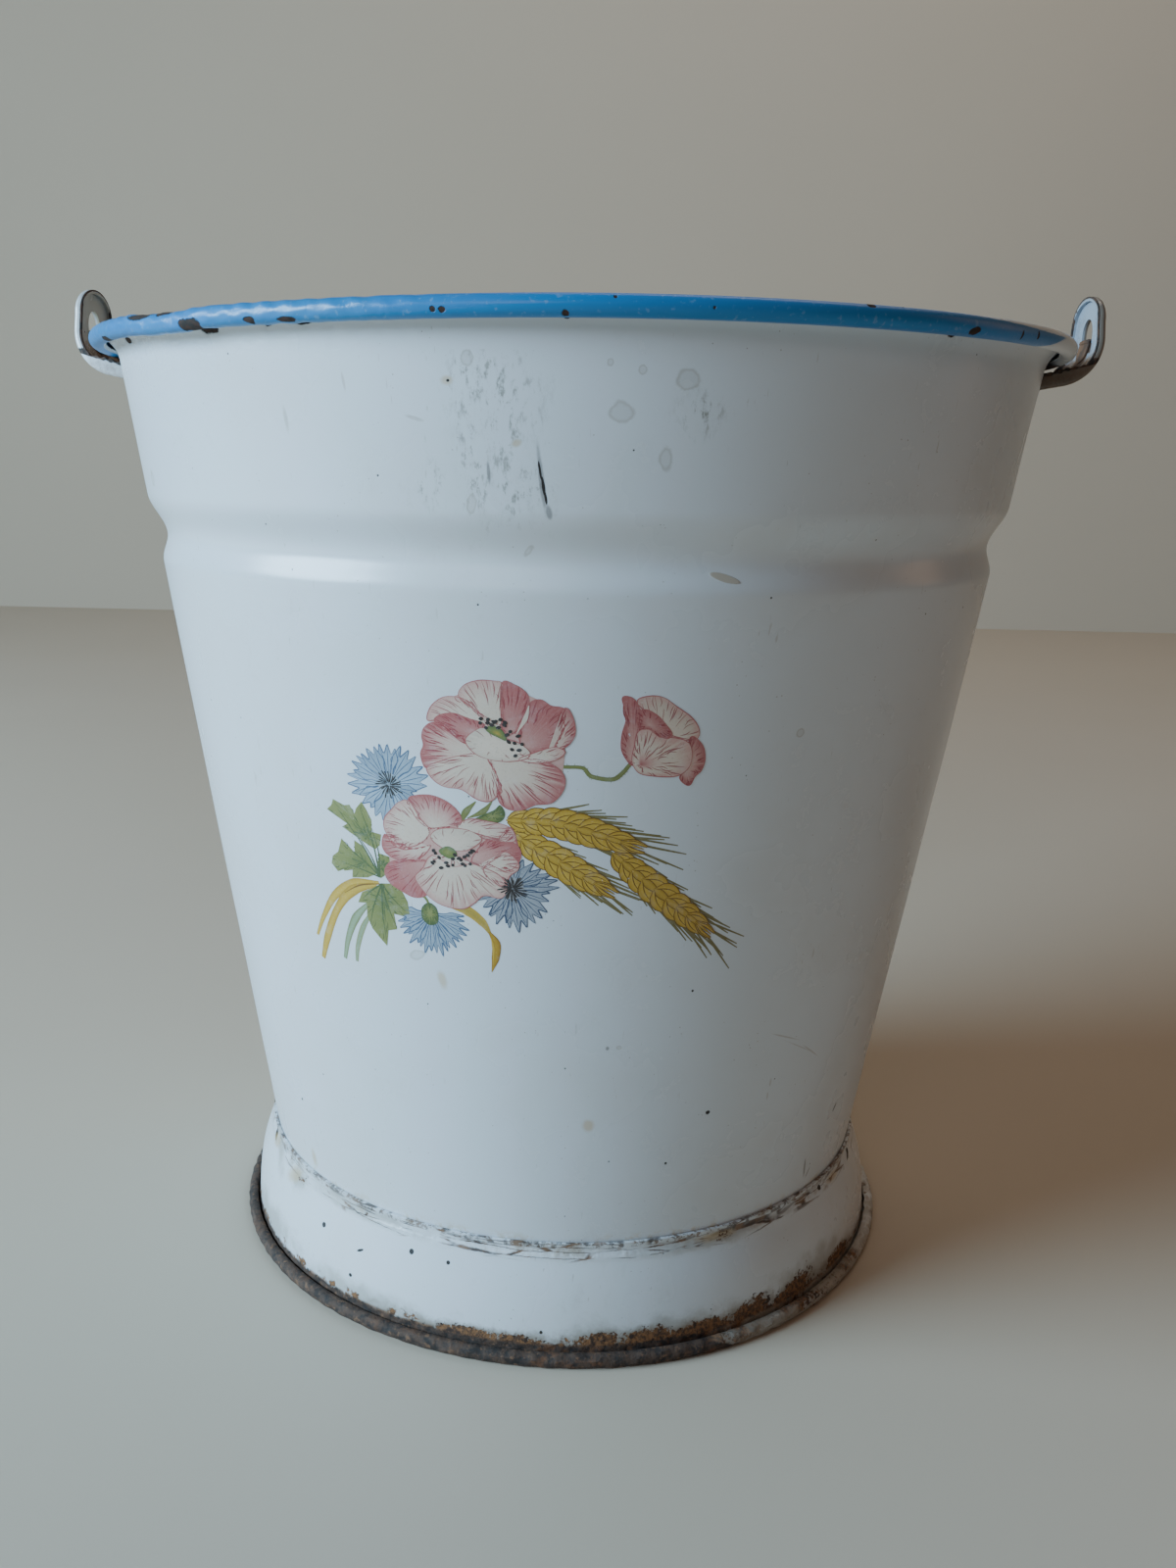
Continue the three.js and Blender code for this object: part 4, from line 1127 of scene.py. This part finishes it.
def lathe_piece(name, line, around, shift, material, node, pole=False):
    """A piece turned from its line, with around points to a turn. A pole at its middle is closed."""
    section = thick(line, SHEET)
    if pole:
        section[np.abs(section[:, 0]) < 0.6, 0] = 0
    points, faces = revolved(section, around, shift)
    mesh = mesh_of(name, points, faces.tolist())
    if pole:
        welded(mesh, 0.002)
    piece = finished(name, mesh, material, 40)
    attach(piece, "root")
    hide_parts(node)


# ---- the ears, worked out for the right one ----
EAR_OUT, EAR_TOP, EAR_SHEET, BEND_R = 160.3, 308.7, 1.3, 15.0
SHOULDER_Z, HALF_TOP, HALF_BASE, SHELF_Z = 300.5, 13.2, 18.5, 279.8
HOLE_LOW, HOLE_SPRING, HOLE_HALF = 294.8, 297.2, 4.9
EDGE_R, EDGE_DEPTH = 1.2, 2.4  # the turned-in edge: its corner's radius, and how deep it goes above the webs
FLAP_FOLD_R, FLAP_HALF, FLAP_HALF_THICK = 0.65, 4.4, 0.5
TAB_Z, TAB_HALF_Z, TAB_HALF_Y, TAB_R, TAB_HALF_THICK = 281.7, 2.5, 21, 142, 0.45
SHELF_TURN = np.radians(10)
SHELF_START = (float(wall_r(SHELF_Z)) - 0.4, SHELF_Z - 0.4 * np.tan(SHELF_TURN))
BEND_Z = SHELF_START[1] + (EAR_OUT - SHELF_START[0]) * np.tan(SHELF_TURN) + BEND_R * np.tan(np.radians(40))
BEND_X = EAR_OUT - BEND_R


def ear_side():
    """The ear's outer face seen from its side: shelf, bend and lug as (x, z) points, with the way inwards and
    the length so far at each."""
    bend = arc(BEND_X, BEND_Z, BEND_R, SHELF_TURN - np.pi / 2, 0, 28)
    line = finer(np.concatenate([[SHELF_START], bend, [(EAR_OUT, EAR_TOP + 1)]]), 0.5)
    return line, to_left(ways(line)), run_of(line)


def ear_half(z):
    """Half the ear's width at height z, below its shoulder."""
    return HALF_BASE + (z - SHELF_Z) * (HALF_TOP - HALF_BASE) / (SHOULDER_Z - SHELF_Z)


def above_web(x, z):
    """How far a point of the ear lies above the upper edge of its webs, which rises evenly to the lug."""
    return z - WEB_Z - (x - wall_r(WEB_Z)) * WEB_RISE / (EAR_OUT - wall_r(WEB_Z))


def ear_shell():
    """The ear's outer face and turned-in edge: strips from its middle line to its outline, then round a small
    corner and inwards by the edge's depth. The outline runs up one side, over an ellipse, down the other."""
    line, inward, run = ear_side()
    shoulder = np.interp(SHOULDER_Z, line[:, 1], run)
    up = np.linspace(0, shoulder, 72)
    up_half = ear_half(np.interp(up, run, line[:, 1]))
    turn = np.linspace(0, np.pi, 49)[1:-1]
    s = np.concatenate([up, shoulder + (EAR_TOP - SHOULDER_Z) * np.sin(turn), up[::-1]])
    y = np.concatenate([up_half, HALF_TOP * np.cos(turn), -up_half[::-1]])
    edge = np.stack([s, y], 1)
    aside = -to_left(ways(edge))
    middle = np.stack([np.minimum(s, shoulder), 0 * y], 1)
    x_at, z_at = (np.interp(s, run, line[:, k]) for k in (0, 1))
    web = -above_web(x_at, z_at)
    depth = np.maximum(EDGE_DEPTH, web) + 0.25 * np.sin(s * 1.9 + y) * smooth(web, 0.5, 2.5)
    corner = np.linspace(0, np.pi / 2, 5)
    out_to, in_to = np.linspace(0, 1, 10), np.linspace(0, 1, 5)[1:, None]
    face = middle + out_to[:, None, None] * (edge + aside * EDGE_R - middle)
    bent = edge + aside * EDGE_R * (1 - np.sin(corner))[1:, None, None]
    flat = np.concatenate([face, bent, edge + 0 * in_to[..., None]])
    rows = [0 * out_to[:, None] * s, EDGE_R * (1 - np.cos(corner))[1:, None] * np.ones(len(s))]
    lift = np.concatenate([*rows, EDGE_R + in_to * (depth - EDGE_R)])
    place = [np.interp(flat[..., 0], run, line[:, k]) + lift * np.interp(flat[..., 0], run, inward[:,
        k]) for k in (0, 1)]
    points = np.stack([place[0], flat[..., 1], place[1]], -1)
    return points.reshape(-1, 3), grid_faces(*points.shape[:2]).tolist()


def tube(sections):
    """A closed form through rows of points: the skin between the rows, and its two ends."""
    rows, columns = sections.shape[:2]
    ends = [list(range(columns))[::-1], list(range((rows - 1) * columns, rows * columns))]
    return sections.reshape(-1, 3), grid_faces(rows, columns, wrap_columns=True).tolist() + ends


def hole_cutter():
    """A prism through the lug: flat below, a half circle above."""
    arch = arc(0, HOLE_SPRING, HOLE_HALF, 0, np.pi, 20)
    outline = np.array([(-HOLE_HALF, HOLE_LOW), (HOLE_HALF, HOLE_LOW), *arch])
    rows = [np.stack([np.full(len(outline), x), outline[:, 0], outline[:, 1]], 1) for x in (150, 165)]
    return tube(np.array(rows))


def boxy_ring(first, second):
    """A circle's cosines and sines, each raised to a power below 1, which makes it squarer."""
    ring = arc(0, 0, 1, 0, 2 * np.pi, 24)[:-1]
    return (np.sign(c) * np.abs(c) ** power for c, power in zip(ring.T, (first, second)))


def tongue():
    """The flap cut from the hole: over the hole's lower edge and down the inner face, round at its end."""
    over = arc(EAR_OUT - EAR_SHEET / 2 - FLAP_FOLD_R, HOLE_LOW + 0.1, FLAP_FOLD_R, 0, np.pi, 12)
    angle = np.linspace(0.0, -0.46, 14)
    r = BEND_R - EAR_SHEET - 0.45 - 0.35 * np.sin(np.linspace(0, np.pi, 14))
    down = np.stack([BEND_X + r * np.cos(angle), BEND_Z - 1.2 + r * np.sin(angle)], 1)
    path = finer(np.concatenate([over, down]), 0.4)
    left = run_of(path)[-1] - run_of(path)
    half = np.sqrt(np.maximum(FLAP_HALF**2 - np.maximum(FLAP_HALF - left, 0) ** 2, 0.05))
    out = to_left(ways(path))
    wide, deep = boxy_ring(0.4, 0.5)
    across = wide * half[:, None]
    thick_by = deep * FLAP_HALF_THICK * np.ones((len(path), 1))
    rows = np.stack([path[:, :1] + out[:, :1] * thick_by, across, path[:, 1:] + out[:, 1:] * thick_by], -1)
    return tube(rows)


def back_tab():
    """The strip that is welded to the wall behind the ear: a bent bar of the sheet's thickness."""
    angle = np.linspace(-TAB_HALF_Y, TAB_HALF_Y, 30) / TAB_R
    deep, high = boxy_ring(0.5, 0.4)
    z = TAB_Z + high * TAB_HALF_Z
    r = wall_r(z) + FIT_GAP + TAB_HALF_THICK + deep * TAB_HALF_THICK
    rows = [r * np.cos(angle)[:, None], r * np.sin(angle)[:, None], z * np.ones((len(angle), 1))]
    return tube(np.stack(rows, -1))


def mesh_after(piece):
    """The piece's mesh with its modifiers worked in."""
    bpy.context.view_layer.update()
    return bpy.data.meshes.new_from_object(piece.evaluated_get(bpy.context.evaluated_depsgraph_get()))


def ear_mesh():
    """The shell given its thickness, with the hole cut through it, its flap and the strip behind it."""
    shell = linked("ear_blank", welded(mesh_of("ear_blank", *ear_shell())))
    cutter = linked("ear_cutter", welded(mesh_of("ear_cutter", *hole_cutter())))
    if shell.data.vertices[0].normal.z > 0:
        shell.data.flip_normals()
    wall = shell.modifiers.new("sheet", "SOLIDIFY")
    wall.thickness, wall.offset, wall.use_even_offset = EAR_SHEET * MM, -1, False
    hole = shell.modifiers.new("hole", "BOOLEAN")
    hole.operation, hole.solver, hole.object = "DIFFERENCE", "EXACT", cutter
    whole = bmesh.new()
    whole.from_mesh(mesh_after(shell))
    for part in (tongue(), back_tab()):
        whole.from_mesh(welded(mesh_of("ear_part", *part)))
    joined = bpy.data.meshes.new("ear")
    whole.to_mesh(joined)
    whole.free()
    for piece in (shell, cutter):
        bpy.data.objects.remove(piece)
    return joined


def make_ear(name, turn, material):
    """One ear from the shared mesh, turned round Z, with what its finish needs written on its points."""
    mesh = ear_mesh()
    at = np.empty(3 * len(mesh.vertices))
    mesh.vertices.foreach_get("co", at)
    x, y, z = at.reshape(-1, 3).T / MM
    # How far each point lies inside the outer face: outside the bend's centre by radius, on the lug by x.
    far = np.hypot(x - BEND_X, z - BEND_Z)
    shelf = (z - SHELF_START[1]) * np.cos(SHELF_TURN) - (x - SHELF_START[0]) * np.sin(SHELF_TURN)
    depth = np.where(z > BEND_Z, EAR_OUT - x, np.where(x > BEND_X + 3, BEND_R - far, shelf))
    rim = np.where(z < SHOULDER_Z, ear_half(z) - np.abs(y), HALF_TOP * (1 - np.hypot(y / HALF_TOP,
        (z - SHOULDER_Z) / (EAR_TOP - SHOULDER_Z))))
    web = above_web(x, z)
    free = np.maximum(smooth(depth, 1.5, 2.3) * (z > 287), smooth(web, -1.3, -0.3) * (z < 289.5))
    on_flap = smooth(depth, 1.0, 1.3) * (np.abs(y) < 4.8) * (z < HOLE_LOW + 1.5)
    values = {
        "within": smooth(depth, 0.2, 1.1) * smooth(rim, 0.5, 1.1),
        "edge": free * (1 - smooth(rim, 1.3, 1.6)),
        # low is 1 on the ear's lower part and on its flap, where the finish paints shade under the rim
        # together with rust.
        "low": np.maximum(1 - smooth(z, 283, 299), on_flap),
    }
    for key, value in values.items():
        mesh.attributes.new(key, "FLOAT", "POINT").data.foreach_set("value", flattened(value))
    mesh.transform(Matrix.Rotation(turn, 4, "Z"))
    piece = finished(name + "_shell", mesh, material, 38)
    bevel = piece.modifiers.new("worn_edge", "BEVEL")
    bevel.width, bevel.segments, bevel.limit_method, bevel.angle_limit = 0.3 * MM, 2, "ANGLE", np.radians(50)
    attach(piece, "root")
    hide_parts(name)


def make_print():
    """The transfer as one mesh: tops first, then undersides, each with its share of the print's own map."""
    t = draw_print()
    points, places, tints = (np.concatenate(part) for part in (t.points, t.places, t.tints))
    mesh = mesh_of("flower_print", points, t.top + t.under)
    colour = np.concatenate([tints, np.ones((len(tints), 1))], 1)
    mesh.attributes.new("ink", "FLOAT_COLOR", "POINT").data.foreach_set("color", flattened(colour))
    corners_of = np.empty(len(mesh.loops), np.int32)
    mesh.loops.foreach_get("vertex_index", corners_of)
    low, high = places.min(0), places.max(0)
    flat = 0.004 + 0.992 * ((places - low) / (high - low))[corners_of]
    under = np.arange(len(corners_of)) >= sum(len(face) for face in t.top)
    flat[:, 1] = np.where(under, 0.004 + 0.05 * flat[:, 1], 0.07 + 0.925 * flat[:, 1])
    mesh.uv_layers.new(name="OFBake").uv.foreach_set("vector", flattened(flat))
    piece = finished("flower_print", welded(mesh, 0.0015), print_ink(), 30)
    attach(piece, "root")


# ---- camera, light and floor ----
def set_camera():
    """Stands at the bucket's front, a little below its rim, looking down by about 13 degrees, and is turned
    round the bucket by a small angle."""
    pitch, yaw, roll, around = 0.2343, -0.0295, 0.0153, np.radians(2.4)
    back, high = 458.14, 257.19
    ahead = np.array([np.sin(yaw) * np.cos(pitch), np.cos(yaw) * np.cos(pitch), -np.sin(pitch)])
    right = np.array([np.cos(yaw), -np.sin(yaw), 0.0])
    up = np.cross(right, ahead)
    side = np.cos(roll) * right + np.sin(roll) * up
    top = -np.sin(roll) * right + np.cos(roll) * up
    turn = np.array([[np.cos(around), -np.sin(around), 0], [np.sin(around), np.cos(around), 0], [0, 0, 1]])
    place = np.array([0, -back, high]) * MM
    columns = np.stack([side, top, -ahead, place], 1)
    world = np.eye(4)
    world[:3] = turn @ columns
    data = bpy.data.cameras.new("camera")
    data.sensor_fit, data.sensor_width, data.sensor_height = "VERTICAL", 36, 36
    data.lens, data.shift_x = 31.25, 0.0375
    camera = linked("camera", data)
    camera.matrix_world = Matrix(world.tolist())
    bpy.context.scene.camera = camera


def lamp(name, place, target, size, power, colour):
    """A soft oval lamp at place, turned to the target, both in metres, with its width, height and watts."""
    data = bpy.data.lights.new(name, "AREA")
    data.shape, data.size, data.size_y = "ELLIPSE", *size
    data.energy, data.color = power, colour
    piece = linked(name, data)
    piece.location = place
    piece.rotation_euler = (Vector(target) - Vector(place)).to_track_quat("-Z", "Y").to_euler()


def sheet_of(name, corners_m, finish, size, tones, rough, grain):
    """A flat plain sheet between four corners in metres, in two close tones that change over this size."""
    net = Net(finish)
    tone = net.mix(net.noise(size, 3) * 0.5, *tones)
    mesh = bpy.data.meshes.new(name)
    mesh.from_pydata(corners_m, [], [(0, 1, 2, 3)])
    mesh.materials.append(net.finish(tone, rough, net.noise(grain, 2), 0.05, 0.1))
    return linked(name, mesh)


def set_room():
    """A pale floor, a backdrop behind the bucket, a little warm light from all round, and four soft lamps: a
    broad cool one at the left, weak ones in front and on the backdrop, and a weak warm one at the right."""
    half, behind, top = 3, 1.8, 2.6
    floor_tones = (0.56, 0.47, 0.37), (0.52, 0.43, 0.33)
    backdrop_tones = (0.52, 0.42, 0.32), (0.47, 0.38, 0.28)
    flat = [(-half, -half, 0), (half, -half, 0), (half, half, 0), (-half, half, 0)]
    upright = [(-half, behind, 0), (half, behind, 0), (half, behind, top), (-half, behind, top)]
    piece = sheet_of("floor", flat, "studio_floor", 160, floor_tones, 0.6, 3)
    backdrop = sheet_of("backdrop", upright, "studio_backdrop", 300, backdrop_tones, 0.8, 4)
    world = bpy.data.worlds.new("room")
    world.use_nodes = True
    background = world.node_tree.nodes["Background"].inputs
    background["Color"].default_value, background["Strength"].default_value = (0.88, 0.58, 0.38, 1), 0.07
    bpy.context.scene.world = world
    lamp("window", (-1.8, -0.72, 0.85), (0, 0, 0.15), (1.4, 0.9), 98, (0.50, 0.77, 1.0))
    lamp("front", (-0.5, -2.0, 1.0), (0, 0, 0.15), (0.9, 0.7), 4, (1.0, 0.93, 0.94))
    lamp("backdrop_wash", (0.5, 0.95, 2.1), (0.4, 1.8, 0.5), (1.6, 0.5), 9, (1.0, 0.84, 0.68))
    lamp("warm_wall", (1.5, 0.3, 0.7), (0, 0, 0.2), (0.4, 1.2), 1.0, (1.0, 0.60, 0.36))


set_camera()
set_room()
lathe_piece("wall", wall_line(), 384, wall_shift, wall_enamel(), "body")
lathe_piece("rolled_rim", rim_line(), 880, rim_shift, rim_enamel(), "body")
lathe_piece("foot_hoop", foot_line(), 640, foot_shift, foot_enamel(), "foot_ring")
lathe_piece("bottom_pan", pan_line(), 256, still, bottom_enamel(), "bottom", pole=True)
# Painted light in the ears' colours (inner face, low parts, outer face): the right ear's inner face is
# blue-grey as a painted sky reflection, and its outer face is dark warm brown as painted shade. The left
# ear's inner face is made lighter as painted warm light. The low parts' colour is rust and painted shade.
right_coat_with_painted_light = (0.33, 0.36, 0.405), (0.15, 0.075, 0.04), (0.20, 0.165, 0.135)
left_coat_with_painted_light = (0.55, 0.52, 0.42), (0.19, 0.105, 0.06), (0.66, 0.68, 0.70)
make_ear("ear_right", 0.0, ear_enamel("right_ear_enamel_and_painted_light", *right_coat_with_painted_light))
make_ear("ear_left", np.pi, ear_enamel("left_ear_enamel_and_painted_light", *left_coat_with_painted_light))
make_print()
